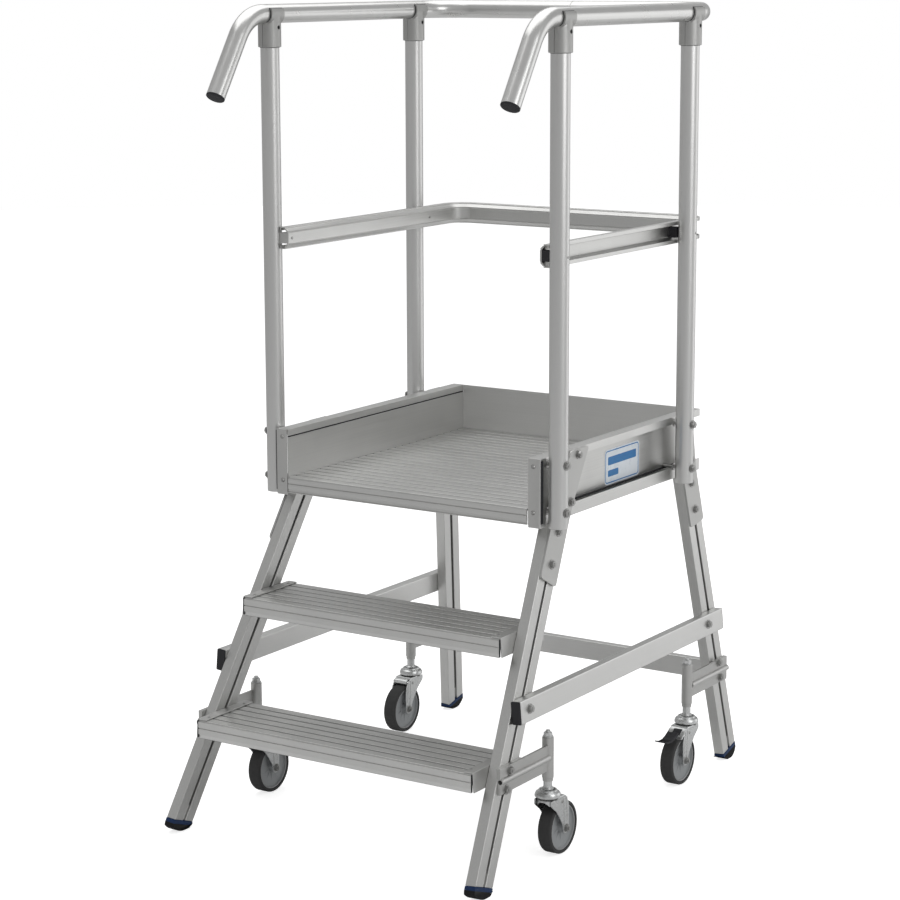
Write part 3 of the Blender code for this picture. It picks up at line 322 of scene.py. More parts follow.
# ==================================================================== shaping
class Stock:
    """Ways to shape raw stock into closed meshes."""

    @staticmethod
    def close(name: str, bm: bmesh.types.BMesh) -> Mesh:
        """Turn the faces outwards and store them.

        Args:
            name: Name of the mesh.
            bm: The shape; it is freed.

        Returns:
            The stored mesh.
        """
        bmesh.ops.recalc_face_normals(bm, faces=bm.faces)
        mesh = bpy.data.meshes.new(name)
        bm.to_mesh(mesh)
        bm.free()
        return mesh

    @staticmethod
    def prism(name: str, starts: Sequence[Sequence[Sequence[float]]],
              ends: Sequence[Sequence[Sequence[float]]]) -> Mesh:
        """Solid between two matching sets of loops.

        Args:
            name: Name of the mesh.
            starts: Outline and hole loops of one end.
            ends: The same loops at the other end.

        Returns:
            The closed mesh.
        """
        bm = bmesh.new()
        near = [[bm.verts.new(point) for point in loop] for loop in starts]
        far = [[bm.verts.new(point) for point in loop] for loop in ends]
        for first, second in zip(near, far):
            for i in range(len(first)):
                j = (i + 1) % len(first)
                bm.faces.new((first[i], first[j], second[j], second[i]))
        for loops in (near, far):
            if len(loops) == 1:
                bm.faces.new(loops[0])
                continue
            flat = [vert for loop in loops for vert in loop]
            for triangle in tessellate_polygon([[vert.co for vert in loop] for loop in loops]):
                bm.faces.new([flat[index] for index in triangle])
        return Stock.close(name, bm)

    @staticmethod
    def loft(name: str, rings: Sequence[Sequence[Sequence[float]]], cyclic: bool) -> Mesh:
        """Skin through rings of equal length.

        Args:
            name: Name of the mesh.
            rings: The rings in order.
            cyclic: Join the last ring to the first; otherwise both are capped.

        Returns:
            The closed mesh.
        """
        bm = bmesh.new()
        loops = [[bm.verts.new(point) for point in ring] for ring in rings]
        pairs = list(zip(loops, loops[1:]))
        if cyclic:
            pairs.append((loops[-1], loops[0]))
        for first, second in pairs:
            for i in range(len(first)):
                j = (i + 1) % len(first)
                bm.faces.new((first[i], first[j], second[j], second[i]))
        if not cyclic:
            bm.faces.new(loops[0])
            bm.faces.new(loops[-1])
        return Stock.close(name, bm)

    @staticmethod
    def turned(name: str, profile: Sequence[Flat], sides: int = 64, hollow: bool = False, axis: str = "Z",
               centre: Sequence[float] = (0.0, 0.0, 0.0)) -> Mesh:
        """Body of revolution.

        Args:
            name: Name of the mesh.
            profile: (radius, height) points.
            sides: Facets round the axis.
            hollow: The profile is a ring that closes on itself.
            axis: "X", "Y" or "Z".
            centre: Where height zero of the axis lies.

        Returns:
            The closed mesh.
        """
        rings = []
        for radius, height in profile:
            ring = []
            for i in range(sides):
                angle = 2.0 * math.pi * i / sides
                a, b = radius * math.cos(angle), radius * math.sin(angle)
                local = {"X": (height, a, b), "Y": (b, height, a), "Z": (a, b, height)}[axis]
                ring.append(Vector(local) + Vector(centre))
            rings.append(ring)
        return Stock.loft(name, rings, hollow)

    @staticmethod
    def along(name: str, loops: Sequence[Sequence[Flat]], axis: str, low: float, high: float,
              mirror: float = 1.0) -> Mesh:
        """Straight profile.

        Args:
            name: Name of the mesh.
            loops: Outline and holes; (x, z) along Y, (y, z) along X, (x, y) along Z.
            axis: The way the profile runs.
            low: Start of the profile.
            high: End of the profile.
            mirror: Sign given to X.

        Returns:
            The closed mesh.
        """
        def lift(point: Flat, run: float) -> tuple[float, float, float]:
            """Place one outline point at a distance along the profile."""
            a, b = point
            x, y, z = {"X": (run, a, b), "Y": (a, run, b), "Z": (a, b, run)}[axis]
            return (x * mirror, y, z)

        ends = [[[lift(point, run) for point in loop] for loop in loops] for run in (low, high)]
        return Stock.prism(name, ends[0], ends[1])

    @staticmethod
    def block(name: str, low: Sequence[float], high: Sequence[float]) -> Mesh:
        """Square block between two corners."""
        outline = [(low[0], low[1]), (high[0], low[1]), (high[0], high[1]), (low[0], high[1])]
        return Stock.along(name, [outline], "Z", low[2], high[2])

    @staticmethod
    def arc(centre: Flat, radius: float, start: float, end: float, steps: int) -> list[Flat]:
        """Points on a circle in a plane, both ends included.

        Args:
            centre: Centre of the circle.
            radius: Its radius.
            start: First angle in degrees.
            end: Last angle in degrees.
            steps: Number of equal steps.

        Returns:
            The points.
        """
        points = []
        for i in range(steps + 1):
            angle = math.radians(start + (end - start) * i / steps)
            points.append((centre[0] + radius * math.cos(angle), centre[1] + radius * math.sin(angle)))
        return points

    @staticmethod
    def rounded(low: Flat, high: Flat, radius: float, steps: int = 6) -> list[Flat]:
        """Rectangle with round corners, anticlockwise.

        Args:
            low: Lowest corner.
            high: Highest corner.
            radius: Corner radius.
            steps: Steps in each corner.

        Returns:
            The outline.
        """
        corners = (((high[0] - radius, low[1] + radius), -90.0), ((high[0] - radius, high[1] - radius), 0.0),
                   ((low[0] + radius, high[1] - radius), 90.0), ((low[0] + radius, low[1] + radius), 180.0))
        return [point for centre, start in corners
                for point in Stock.arc(centre, radius, start, start + 90.0, steps)]

    @staticmethod
    def through_modifiers(mesh: Mesh, fit: Callable[[bpy.types.Object], None]) -> Mesh:
        """Run modifiers over a mesh and keep the result.

        Args:
            mesh: The shape to work on.
            fit: Adds the modifiers to a scratch object.

        Returns:
            The finished mesh.
        """
        work = bpy.data.objects.new("work", mesh)
        bpy.context.scene.collection.objects.link(work)
        fit(work)
        result = bpy.data.meshes.new_from_object(work.evaluated_get(bpy.context.evaluated_depsgraph_get()))
        result.name = mesh.name
        bpy.data.objects.remove(work)
        return result

    @staticmethod
    def carve(base: Mesh, steps: Iterable[tuple[str, Mesh]]) -> Mesh:
        """Join and cut solids.

        Args:
            base: The first solid.
            steps: ("UNION" or "DIFFERENCE", mesh) pairs in order.

        Returns:
            The combined mesh.
        """
        tools = []

        def fit(work: bpy.types.Object) -> None:
            """Add one Boolean for each step."""
            for operation, mesh in steps:
                tool = bpy.data.objects.new("tool", mesh)
                bpy.context.scene.collection.objects.link(tool)
                tools.append(tool)
                cut = work.modifiers.new(operation, "BOOLEAN")
                cut.operation = operation
                cut.solver = "EXACT"
                cut.object = tool

        result = Stock.through_modifiers(base, fit)
        for tool in tools:
            bpy.data.objects.remove(tool)
        return result

    @staticmethod
    def ease(mesh: Mesh, width: float, segments: int = 2, angle: float = 32.0) -> Mesh:
        """Round the sharp edges of a mesh.

        Args:
            mesh: The shape.
            width: Width of the rounding.
            segments: Facets across it.
            angle: Edges flatter than this stay, in degrees.

        Returns:
            The rounded mesh.
        """
        def fit(work: bpy.types.Object) -> None:
            """Bevel the edges."""
            bevel = work.modifiers.new("ease", "BEVEL")
            bevel.width = width
            bevel.segments = segments
            bevel.limit_method = "ANGLE"
            bevel.angle_limit = math.radians(angle)

        return Stock.shade(Stock.through_modifiers(mesh, fit), 40.0)

    @staticmethod
    def shade(mesh: Mesh, angle: float = 35.0) -> Mesh:
        """Shade round faces smooth and keep corners over the angle in degrees."""
        mesh.shade_smooth()
        mesh.set_sharp_from_angle(angle=math.radians(angle))
        return mesh

    @staticmethod
    def weigh(mesh: Mesh) -> Mesh:
        """Lean the normals towards the broad faces, so that flat faces stay flat beside round edges."""
        def fit(work: bpy.types.Object) -> None:
            """Weight the normals."""
            weights = work.modifiers.new("weights", "WEIGHTED_NORMAL")
            weights.keep_sharp = True

        return Stock.through_modifiers(mesh, fit)


class Sweep:
    """Runs a section along a path without twisting it."""

    @staticmethod
    def rings(path: Sequence[Vector], section: Sequence[Flat]) -> list[list[Vector]]:
        """Rings of the section along the path.

        Args:
            path: Centre line.
            section: (side, up) points; side is to the right of the path.

        Returns:
            One ring for each path point.
        """
        rings = []
        for i, point in enumerate(path):
            before = (point - path[i - 1]).normalized() if i else (path[1] - point).normalized()
            after = (path[i + 1] - point).normalized() if i + 1 < len(path) else before
            tangent = (before + after).normalized()
            side = Vector((tangent.y, -tangent.x, 0.0)).normalized()
            up = side.cross(tangent).normalized()
            bend = after - before
            ring = []
            for a, b in section:
                offset = side * a + up * b
                if bend.length > 1e-6:
                    across = bend.normalized()
                    offset += across * offset.dot(across) * (1.0 / tangent.dot(after) - 1.0)
                ring.append(point + offset)
            rings.append(ring)
        return rings


# ==================================================================== publishing
@dataclass(frozen=True)
class Piece:
    """One shape and the finish it wears."""

    mesh: Mesh
    finish: Finish


class Workshop:
    """Turns finished shapes into pieces of the visual model."""

    def __init__(self, bench_y: float) -> None:
        """Remember where the bench's origin lies.

        Args:
            bench_y: Frame Y of the front posts' axis.
        """
        self.bench = Matrix.Translation((0.0, bench_y, 0.0))
        self.count = 0

    def publish(self, name: str, pieces: Sequence[Piece], body: str = MAIN_BODY,
                replaces: Sequence[str] = ()) -> bpy.types.Object:
        """Join shapes into one named piece of the model.

        Args:
            name: Name of the piece.
            pieces: Shapes and finishes, in bench coordinates.
            body: The body it rides on.
            replaces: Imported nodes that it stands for.

        Returns:
            The finished object, at the origin with its place in its mesh.
        """
        materials = []
        bm = bmesh.new()
        for piece in pieces:
            material = piece.finish.material()
            if material not in materials:
                materials.append(material)
            first = len(bm.faces)
            bm.from_mesh(piece.mesh)
            bm.faces.ensure_lookup_table()
            for face in bm.faces[first:]:
                face.material_index = materials.index(material)
        mesh = bpy.data.meshes.new(name)
        for material in materials:
            mesh.materials.append(material)
        bm.to_mesh(mesh)
        bm.free()
        mesh = Stock.weigh(mesh)
        mesh.name = name
        mesh.transform(self.bench)
        thing = bpy.data.objects.new(name, mesh)
        bpy.context.scene.collection.objects.link(thing)
        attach(thing, body)
        if replaces:
            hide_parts(*replaces)
        self.count += 1
        LOG.info("%s: %d faces on %s", name, len(mesh.polygons), body)
        return thing


# ==================================================================== repeated things
class Recipe:
    """Builds one Geometry Nodes tree with named inputs."""

    def __init__(self, name: str) -> None:
        """Start an empty tree with a geometry input and output.

        Args:
            name: Name of the tree.
        """
        self.tree = bpy.data.node_groups.new(name, "GeometryNodeTree")
        self.tree.interface.new_socket(name="Geometry", in_out="INPUT", socket_type="NodeSocketGeometry")
        self.tree.interface.new_socket(name="Geometry", in_out="OUTPUT", socket_type="NodeSocketGeometry")
        self.source = self.tree.nodes.new("NodeGroupInput")
        self.sink = self.tree.nodes.new("NodeGroupOutput")

    def ask(self, name: str, kind: str) -> bpy.types.NodeSocket:
        """Add a named input.

        Args:
            name: Name of the input.
            kind: "Float", "Int" or "Material".

        Returns:
            The socket that carries its value inside the tree.
        """
        self.tree.interface.new_socket(name=name, in_out="INPUT", socket_type="NodeSocket" + kind)
        return self.source.outputs[name]

    def add(self, kind: str, inputs: dict[str | int, object], **settings: object) -> bpy.types.Node:
        """Add a node with its inputs linked or set.

        Args:
            kind: The node's type name.
            inputs: Sockets or values by input name or number.
            settings: Attributes of the node.

        Returns:
            The new node.
        """
        node = self.tree.nodes.new(kind)
        for key, value in settings.items():
            setattr(node, key, value)
        for key, value in inputs.items():
            if isinstance(value, bpy.types.NodeSocket):
                self.tree.links.new(value, node.inputs[key])
            else:
                node.inputs[key].default_value = value
        return node

    def sums(self, first: object, second: object, operation: str = "ADD") -> bpy.types.NodeSocket:
        """Arithmetic on two numbers."""
        return self.add("ShaderNodeMath", {0: first, 1: second}, operation=operation).outputs[0]

    def vector(self, x: object = 0.0, y: object = 0.0, z: object = 0.0) -> bpy.types.NodeSocket:
        """Vector from three numbers or sockets."""
        return self.add("ShaderNodeCombineXYZ", {"X": x, "Y": y, "Z": z}).outputs[0]

    def end(self, instances: bpy.types.NodeSocket, material: bpy.types.NodeSocket) -> bpy.types.NodeTree:
        """Realize the instances, give them their material and close the tree.

        Args:
            instances: What the tree has made.
            material: The material's socket.

        Returns:
            The finished tree.
        """
        real = self.add("GeometryNodeRealizeInstances", {"Geometry": instances}).outputs["Geometry"]
        dressed = self.add("GeometryNodeSetMaterial", {"Geometry": real, "Material": material})
        self.tree.links.new(dressed.outputs["Geometry"], self.sink.inputs[0])
        return self.tree

    @staticmethod
    def cook(tree: bpy.types.NodeTree, points: Mesh, values: dict[str, object]) -> Mesh:
        """Run a tree over a mesh and keep the plain result.

        Args:
            tree: The tree.
            points: Its geometry input.
            values: Its named inputs.

        Returns:
            The realized mesh.
        """
        sockets = {item.name: item.identifier for item in tree.interface.items_tree if item.in_out == "INPUT"}

        def fit(work: bpy.types.Object) -> None:
            """Add the tree with its inputs set before it is first evaluated."""
            nodes = work.modifiers.new("recipe", "NODES")
            nodes.node_group = tree
            for name, value in values.items():
                nodes[sockets[name]] = value

        return Stock.through_modifiers(points, fit)


@dataclass(frozen=True)
class FastenerSize:
    """Head, washer and stud end of one kind of fastener."""

    sides: int
    head_radius: float
    head_height: float
    taper: float = 0.94
    washer_radius: float = 0.0095
    washer_height: float = 0.0015
    tip_radius: float = 0.004
    tip_height: float = 0.0012


class Fastener(Enum):
    """Kinds of fastener on the ladder."""

    HEX_BOLT = FastenerSize(6, 0.0082, 0.0056, washer_radius=0.0104)
    AXLE_NUT = FastenerSize(6, 0.0080, 0.0055, washer_radius=0.0092, washer_height=0.0008, tip_height=0.0030)
    STUD_NUT = FastenerSize(6, 0.0095, 0.0080, 0.96, 0.0112, 0.0014, 0.0050, 0.0045)
    PAN_SCREW = FastenerSize(24, 0.0046, 0.0022, 0.72, 0.0050, 0.0004, 0.0014, 0.0001)
    RIVET = FastenerSize(20, 0.0030, 0.0011, 0.70, 0.0034, 0.0003, 0.0010, 0.0001)


class FastenerRows:
    """Sets fasteners on points, each turned a little differently about its own axis."""

    def __init__(self) -> None:
        """Build the tree once."""
        recipe = Recipe("fastener_rows")
        sides = recipe.ask("Sides", "Int")
        ask = {name: recipe.ask(name, "Float") for name in
               ("Head Radius", "Head Height", "Taper", "Washer Radius", "Washer Height", "Tip Radius",
                "Tip Height")}
        seed = recipe.ask("Seed", "Int")
        material = recipe.ask("Material", "Material")
        join = recipe.tree.nodes.new("GeometryNodeJoinGeometry")
        top = recipe.sums(ask["Head Radius"], ask["Taper"], "MULTIPLY")
        crown = recipe.sums(ask["Washer Height"], ask["Head Height"])
        stack = ((24, ask["Washer Radius"], ask["Washer Radius"], ask["Washer Height"], 0.0),
                 (sides, ask["Head Radius"], top, ask["Head Height"], ask["Washer Height"]),
                 (16, ask["Tip Radius"], ask["Tip Radius"], ask["Tip Height"], crown))
        for count, low, high, depth, rise in stack:
            cone = recipe.add("GeometryNodeMeshCone", {"Vertices": count, "Radius Bottom": low,
                                                       "Radius Top": high, "Depth": depth})
            lifted = recipe.add("GeometryNodeTransform", {"Geometry": cone.outputs["Mesh"],
                                                          "Translation": recipe.vector(z=rise)})
            recipe.tree.links.new(lifted.outputs["Geometry"], join.inputs["Geometry"])
        facing = recipe.add("GeometryNodeInputNamedAttribute", {"Name": "facing"}, data_type="FLOAT_VECTOR")
        aim = recipe.add("FunctionNodeAlignRotationToVector", {"Vector": facing.outputs["Attribute"]},
                         axis="Z")
        turn = recipe.add("FunctionNodeRandomValue", {"Min": 0.0, "Max": math.tau, "Seed": seed},
                          data_type="FLOAT")
        spin = recipe.add("FunctionNodeEulerToRotation", {"Euler": recipe.vector(z=turn.outputs["Value"])})
        both = recipe.add("FunctionNodeRotateRotation", {"Rotation": aim.outputs["Rotation"],
                                                         "Rotate By": spin.outputs["Rotation"]},
                          rotation_space="LOCAL")
        laid = recipe.add("GeometryNodeInstanceOnPoints", {"Points": recipe.source.outputs["Geometry"],
                                                           "Instance": join.outputs["Geometry"],
                                                           "Rotation": both.outputs["Rotation"]})
        self.tree = recipe.end(laid.outputs["Instances"], material)

    def lay(self, kind: Fastener, places: Sequence[tuple[Sequence[float], Sequence[float]]],
            finish: Finish, seed: int = 3) -> Piece:
        """Put one kind of fastener at several places.

        Args:
            kind: The fastener.
            places: Pairs of seat and outward direction.
            finish: Its finish.
            seed: Seed of the heads' turns.

        Returns:
            The fasteners as one shape.
        """
        points = bpy.data.meshes.new("fasteners")
        points.from_pydata([tuple(seat) for seat, _ in places], [], [])
        facing = points.attributes.new("facing", "FLOAT_VECTOR", "POINT")
        for item, (_, outward) in zip(facing.data, places):
            item.vector = outward
        size = kind.value
        values = {"Sides": size.sides, "Head Radius": size.head_radius, "Head Height": size.head_height,
                  "Taper": size.taper, "Washer Radius": size.washer_radius,
                  "Washer Height": size.washer_height, "Tip Radius": size.tip_radius,
                  "Tip Height": size.tip_height, "Seed": seed, "Material": finish.material()}
        mesh = Recipe.cook(self.tree, points, values)
        mesh.attributes.remove(mesh.attributes["facing"])
        return Piece(Stock.ease(mesh, 0.0005), finish)


class BarRows:
    """Straight bars side by side, such as the grip ribs of a tread."""

    def __init__(self) -> None:
        """Build the tree once."""
        recipe = Recipe("bar_rows")
        count = recipe.ask("Count", "Int")
        pitch, length, width, height = (recipe.ask(name, "Float")
                                        for name in ("Pitch", "Length", "Width", "Height"))
        material = recipe.ask("Material", "Material")
        line = recipe.add("GeometryNodeMeshLine", {"Count": count, "Offset": recipe.vector(y=pitch)})
        bar = recipe.add("GeometryNodeMeshCube", {"Size": recipe.vector(length, width, height)})
        laid = recipe.add("GeometryNodeInstanceOnPoints", {"Points": line.outputs["Mesh"],
                                                           "Instance": bar.outputs["Mesh"]})
        self.tree = recipe.end(laid.outputs["Instances"], material)

    def lay(self, count: int, pitch: float, size: Sequence[float], first: Sequence[float], finish: Finish,
            rounding: float) -> Piece:
        """Lay bars along Y.

        Args:
            count: How many.
            pitch: Distance between them.
            size: Their X, Y and Z sizes.
            first: Centre of the first one.
            finish: Their finish.
            rounding: Width of their rounded edges.

        Returns:
            The bars as one shape.
        """
        values = {"Count": count, "Pitch": pitch, "Length": size[0], "Width": size[1], "Height": size[2],
                  "Material": finish.material()}
        mesh = Recipe.cook(self.tree, bpy.data.meshes.new("bars"), values)
        mesh.transform(Matrix.Translation(first))
        return Piece(Stock.ease(mesh, rounding, 3), finish)


class RadialRibs:
    """Thin ribs set round a wheel's axis."""

    def __init__(self) -> None:
        """Build the tree once."""
        recipe = Recipe("radial_ribs")
        count = recipe.ask("Count", "Int")
        inner, outer, width, height = (recipe.ask(name, "Float")
                                       for name in ("Inner", "Outer", "Width", "Height"))
        material = recipe.ask("Material", "Material")
        middle = recipe.sums(recipe.sums(inner, outer), 0.5, "MULTIPLY")
        reach = recipe.sums(outer, inner, "SUBTRACT")
        circle = recipe.add("GeometryNodeMeshCircle", {"Vertices": count, "Radius": middle})
        bar = recipe.add("GeometryNodeMeshCube", {"Size": recipe.vector(reach, width, height)})
        index = recipe.tree.nodes.new("GeometryNodeInputIndex").outputs["Index"]
        angle = recipe.sums(recipe.sums(index, count, "DIVIDE"), math.tau, "MULTIPLY")
        spin = recipe.add("FunctionNodeEulerToRotation", {"Euler": recipe.vector(z=angle)})
        laid = recipe.add("GeometryNodeInstanceOnPoints", {"Points": circle.outputs["Mesh"],
                                                           "Instance": bar.outputs["Mesh"],
                                                           "Rotation": spin.outputs["Rotation"]})
        self.tree = recipe.end(laid.outputs["Instances"], material)

    def lay(self, count: int, inner: float, outer: float, width: float, height: float,
            finish: Finish) -> Piece:
        """Set ribs about the X axis.

        Args:
            count: How many.
            inner: Radius where they start.
            outer: Radius where they end.
            width: Their thickness.
            height: Their length along the axis.
            finish: Their finish.

        Returns:
            The ribs as one shape.
        """
        values = {"Count": count, "Inner": inner, "Outer": outer, "Width": width, "Height": height,
                  "Material": finish.material()}
        mesh = Recipe.cook(self.tree, bpy.data.meshes.new("ribs"), values)
        mesh.transform(Matrix.Rotation(math.pi / 2.0, 4, "Y"))
        return Piece(Stock.ease(mesh, 0.0004), finish)


# ==================================================================== the ladder's lines
@dataclass(frozen=True)
class Plan:
    """Sizes and places that several sub-assemblies share."""

    step_pitch: float = 0.240
    deck_top: float = 0.720
    deck_half: float = 0.3007
    post_x: float = 0.3555
    post_gap_y: float = 0.548
    post_radius: float = 0.020
    beam_inner: float = 0.301
    beam_outer: float = 0.329
    beam_bottom: float = 0.685
    beam_top: float = 0.824
    beam_front: float = -0.029
    beam_rear: float = 0.672
    rail_z: float = 1.7044
    rail_radius: float = 0.020
    splay: float = 0.0871
    leg_thickness: float = 0.0241

    def leg_outer(self, z: float) -> float:
        """X of the legs' outer faces at a height."""
        return self.beam_outer + 0.0009 + self.splay * (self.beam_bottom - z)

    def leg_inner(self, z: float) -> float:
        """X of the legs' inner faces at a height."""
        return self.leg_outer(z) - self.leg_thickness

    @property
    def post_rows(self) -> tuple[tuple[str, float], tuple[str, float]]:
        """Names and Y places of the two post rows."""
        return (("front", 0.0), ("rear", self.post_gap_y))

    def tilted(self, side: Side, z: float, y: float, out: float) -> tuple[Vector, Vector]:
        """Seat and outward direction on a plate that lies on a splayed leg.

        Args:
            side: Which side of the ladder.
            z: Height of the seat.
            y: Its Y.
            out: Its distance from the leg.

        Returns:
            The seat and the direction.
        """
        direction = Vector((side.value, 0.0, self.splay)).normalized()
        return Vector((side.value * self.leg_outer(z), y, z)) + direction * out, direction


PLAN = Plan()


@dataclass(frozen=True)
class FootShape:
    """Side view of one kind of foot."""

    cut_z: float
    cut_slope: float
    collar: float
    toe_reach: float
    toe_z: float
    flat_from_edge: float
    heel_reach: float
    heel_z: float
    flat: float = 0.014


@dataclass(frozen=True)
class LegLine:
    """One pair of legs: where its front face runs and how deep it is."""

    name: str
    start_y: float
    lean: float
    depth: float
    outward: float
    foot: FootShape

    def face_y(self, z: float) -> float:
        """Y of the front face at a height."""
        return self.start_y + self.lean * (z - PLAN.beam_bottom)

    def middle_y(self, z: float) -> float:
        """Y of the leg's middle at a height."""
        return self.face_y(z) + self.depth / 2.0

    def outer_edge(self, z: float) -> float:
        """Y of the face that looks away from the ladder's middle."""
        return self.face_y(z) + (self.depth if self.outward > 0 else 0.0)

    def inner_edge(self, z: float) -> float:
        """Y of the face that looks to the ladder's middle."""
        return self.face_y(z) + (0.0 if self.outward > 0 else self.depth)

    def cut(self, inward: float, rearward: float, drop: float) -> float:
        """Height at which an edge of the leg meets the slope above its foot.

        Args:
            inward: Distance of the edge inside the outer face.
            rearward: Distance of the edge behind the front face.
            drop: How far under the slope.

        Returns:
            The height.
        """
        slope = self.outward * self.foot.cut_slope
        start = self.outer_edge(self.foot.cut_z)
        run = self.face_y(0.0) + rearward - start
        return (self.foot.cut_z - drop - PLAN.splay * inward + slope * run) / (1.0 - slope * self.lean)


FRONT_LINE = LegLine("front", 0.0097, 0.5746, 0.0733, -1.0,
                     FootShape(0.035, math.tan(math.radians(20.0)), 0.009, 0.006, 0.024, 0.041, 0.0, 0.008))
REAR_LINE = LegLine("rear", 0.5854, -0.1745, 0.0632, 1.0,
                    FootShape(0.032, math.tan(math.radians(14.5)), 0.008, 0.0015, 0.024, 0.0295, 0.0015,
                              0.008))
LINES = (FRONT_LINE, REAR_LINE)


# ==================================================================== rails and posts
@dataclass(frozen=True)
class TopRail:
    """The bent tube with both down-turned handles, and the plugs in its ends."""

    rear_y: float = 0.665
    rear_bend: float = 0.091
    handle_bend: float = 0.100
    handle_start: float = -0.026
    handle_turn: float = 57.0
    handle_straight: float = 0.143
    wall: float = 0.002
    sides: int = 48
    bend_steps: int = 18

    def path(self) -> list[Vector]:
        """Centre line from the left handle's end to the right handle's end."""
        x, z = PLAN.post_x, PLAN.rail_z
        bend = Stock.arc((self.handle_start, z - self.handle_bend), self.handle_bend,
                         90.0 + self.handle_turn, 90.0, self.bend_steps)
        turn = math.radians(self.handle_turn)
        end = (bend[0][0] - self.handle_straight * math.cos(turn),
               bend[0][1] - self.handle_straight * math.sin(turn))
        left = [Vector((-x, y, height)) for y, height in [end] + bend]
        corner = Stock.arc((self.rear_bend - x, self.rear_y - self.rear_bend), self.rear_bend, 180.0, 90.0,
                           self.bend_steps)
        half = left + [Vector((a, b, z)) for a, b in corner]
        return half + [Vector((-point.x, point.y, point.z)) for point in reversed(half)]

    def build(self, shop: Workshop) -> None:
        """Make the rail and its plugs."""
        path = self.path()
        middle = len(path) // 2
        seam = [Vector((x, self.rear_y, PLAN.rail_z)) for x in (-0.0012, -0.0004, 0.0004, 0.0012)]
        path[middle:middle] = seam

        def circle(radius: float) -> list[Flat]:
            """Round section."""
            return Stock.arc((0.0, 0.0), radius, 0.0, 360.0 - 360.0 / self.sides, self.sides - 1)

        outer = Sweep.rings(path, circle(PLAN.rail_radius))
        for index in (middle + 1, middle + 2):
            outer[index] = [path[index] + (point - path[index]) * 0.955 for point in outer[index]]
        inner = Sweep.rings(path, circle(PLAN.rail_radius - self.wall))
        tube = Stock.shade(Stock.loft("tube", outer + inner[::-1], True), 30.0)
        shop.publish("rail_tube", [Piece(tube, RAIL_METAL)], replaces=["top_rail"])
        profile = [(0.0165, -0.012), (0.0172, -0.0004), (0.0198, -0.0004), (0.0202, 0.0006), (0.0200, 0.0018),
                   (0.0190, 0.0028), (0.0160, 0.0034), (0.0070, 0.0038)]
        plug = Stock.shade(Stock.turned("plug", profile, 48), 50.0)
        for side, end, above in ((Side.LEFT, path[0], path[1]), (Side.RIGHT, path[-1], path[-2])):
            outward = (end - above).normalized()
            turn = Vector((0.0, 0.0, 1.0)).rotation_difference(outward).to_matrix().to_4x4()
            mesh = plug.copy()
            mesh.transform(Matrix.Translation(end + outward * 0.0006) @ turn)
            shop.publish(f"end_plug_{side.label}", [Piece(mesh, BLACK_PLASTIC_AND_PAINTED_SHADE)],
                         replaces=[f"handle_plug_{side.label}"])


@dataclass(frozen=True)
class RailClamps:
    """Cast clamps between the top rail and the posts."""

    radius: float = 0.0245
    bore: float = 0.0203
    below: float = 0.0697
    above: float = 0.0111
    half_length: float = 0.0215
    screw_z: float = 1.676

    def casting(self) -> Mesh:
        """One clamp about the crossing of its post and the rail."""
        sides, reach = 72, 0.08
        socket = Stock.turned("socket", [(self.radius, 0.0), (self.radius, 0.0012 - self.below),
                                         (self.radius - 0.0012, -self.below)], sides)
        ends = self.half_length
        saddle = Stock.turned("saddle", [(self.radius, -ends), (self.radius, ends)], sides, axis="Y")
        rail = Stock.turned("rail", [(self.bore, -reach), (self.bore, reach)], sides, axis="Y")
        post = Stock.turned("post", [(self.bore, 0.0), (self.bore, -reach - self.below)], sides)
        top = Stock.block("top", (-reach, -reach, self.above), (reach, reach, reach))
        steps = [("UNION", saddle), ("DIFFERENCE", rail), ("DIFFERENCE", post), ("DIFFERENCE", top)]
        for sign in (-1.0, 1.0):
            near, far = sorted((sign * (self.radius - 0.0012), sign * reach))
            steps.append(("DIFFERENCE", Stock.block("seam", (-0.0005, near, -reach), (0.0005, far, -0.021))))
        hole_z = self.screw_z - PLAN.rail_z
        hole = Stock.turned("hole", [(0.0044, self.radius - 0.0034), (0.0044, reach)], 32, axis="X",
                            centre=(0.0, 0.0, hole_z))
        steps.append(("DIFFERENCE", hole))
        return Stock.ease(Stock.carve(socket, steps), 0.0006, 2, 40.0)

    def seam_shade(self) -> Mesh:
        """Thin black sleeve that paints the seams' shade as a dark line round the cheeks and under the
        socket.
        """
        shell, edge, reach, play = self.bore + 0.0006, 0.0009, 0.06, 0.0001
        long, rail, post = self.half_length + edge, PLAN.rail_radius + play, PLAN.post_radius + play
        around = Stock.turned("around", [(shell, -long), (shell, long)], 64, axis="Y")
        under = Stock.turned("under", [(shell, -self.radius), (shell, -self.below - edge)], 64)
        cuts = [Stock.turned("rail", [(rail, -reach), (rail, reach)], 64, axis="Y"),
                Stock.turned("post", [(post, -0.024), (post, -0.1)], 64),
                Stock.block("top", (-reach, -reach, self.above + edge), (reach, reach, reach))]
        return Stock.carve(around, [("UNION", under)] + [("DIFFERENCE", cut) for cut in cuts])

    def build(self, shop: Workshop) -> None:
        """Make the four clamps with their screws and their painted seam shade."""
        casting, seam_shade = self.casting(), Stock.shade(self.seam_shade(), 30.0)
        screw = [(0.0036, 0.0208), (0.0036, 0.0222), (0.0020, 0.0222), (0.0018, 0.0212)]
        plug = Stock.shade(Stock.turned("screw", screw, 24, axis="X",
                                        centre=(0.0, 0.0, self.screw_z - PLAN.rail_z)))
        for row, y in PLAN.post_rows:
            for side in Side:
                spot = Matrix.Translation((side.value * PLAN.post_x, y, PLAN.rail_z))
                pieces = []
                for mesh, finish in ((casting, CAST_METAL), (plug, BLACK_PLASTIC_AND_PAINTED_SHADE), (seam_shade, BLACK_PLASTIC_AND_PAINTED_SHADE)):
                    copy = mesh.copy()
                    copy.transform(spot)
                    pieces.append(Piece(copy, finish))
                shop.publish(f"clamp_{row}_{side.label}", pieces,
                             replaces=[f"rail_clamp_{row}_{side.label}"])


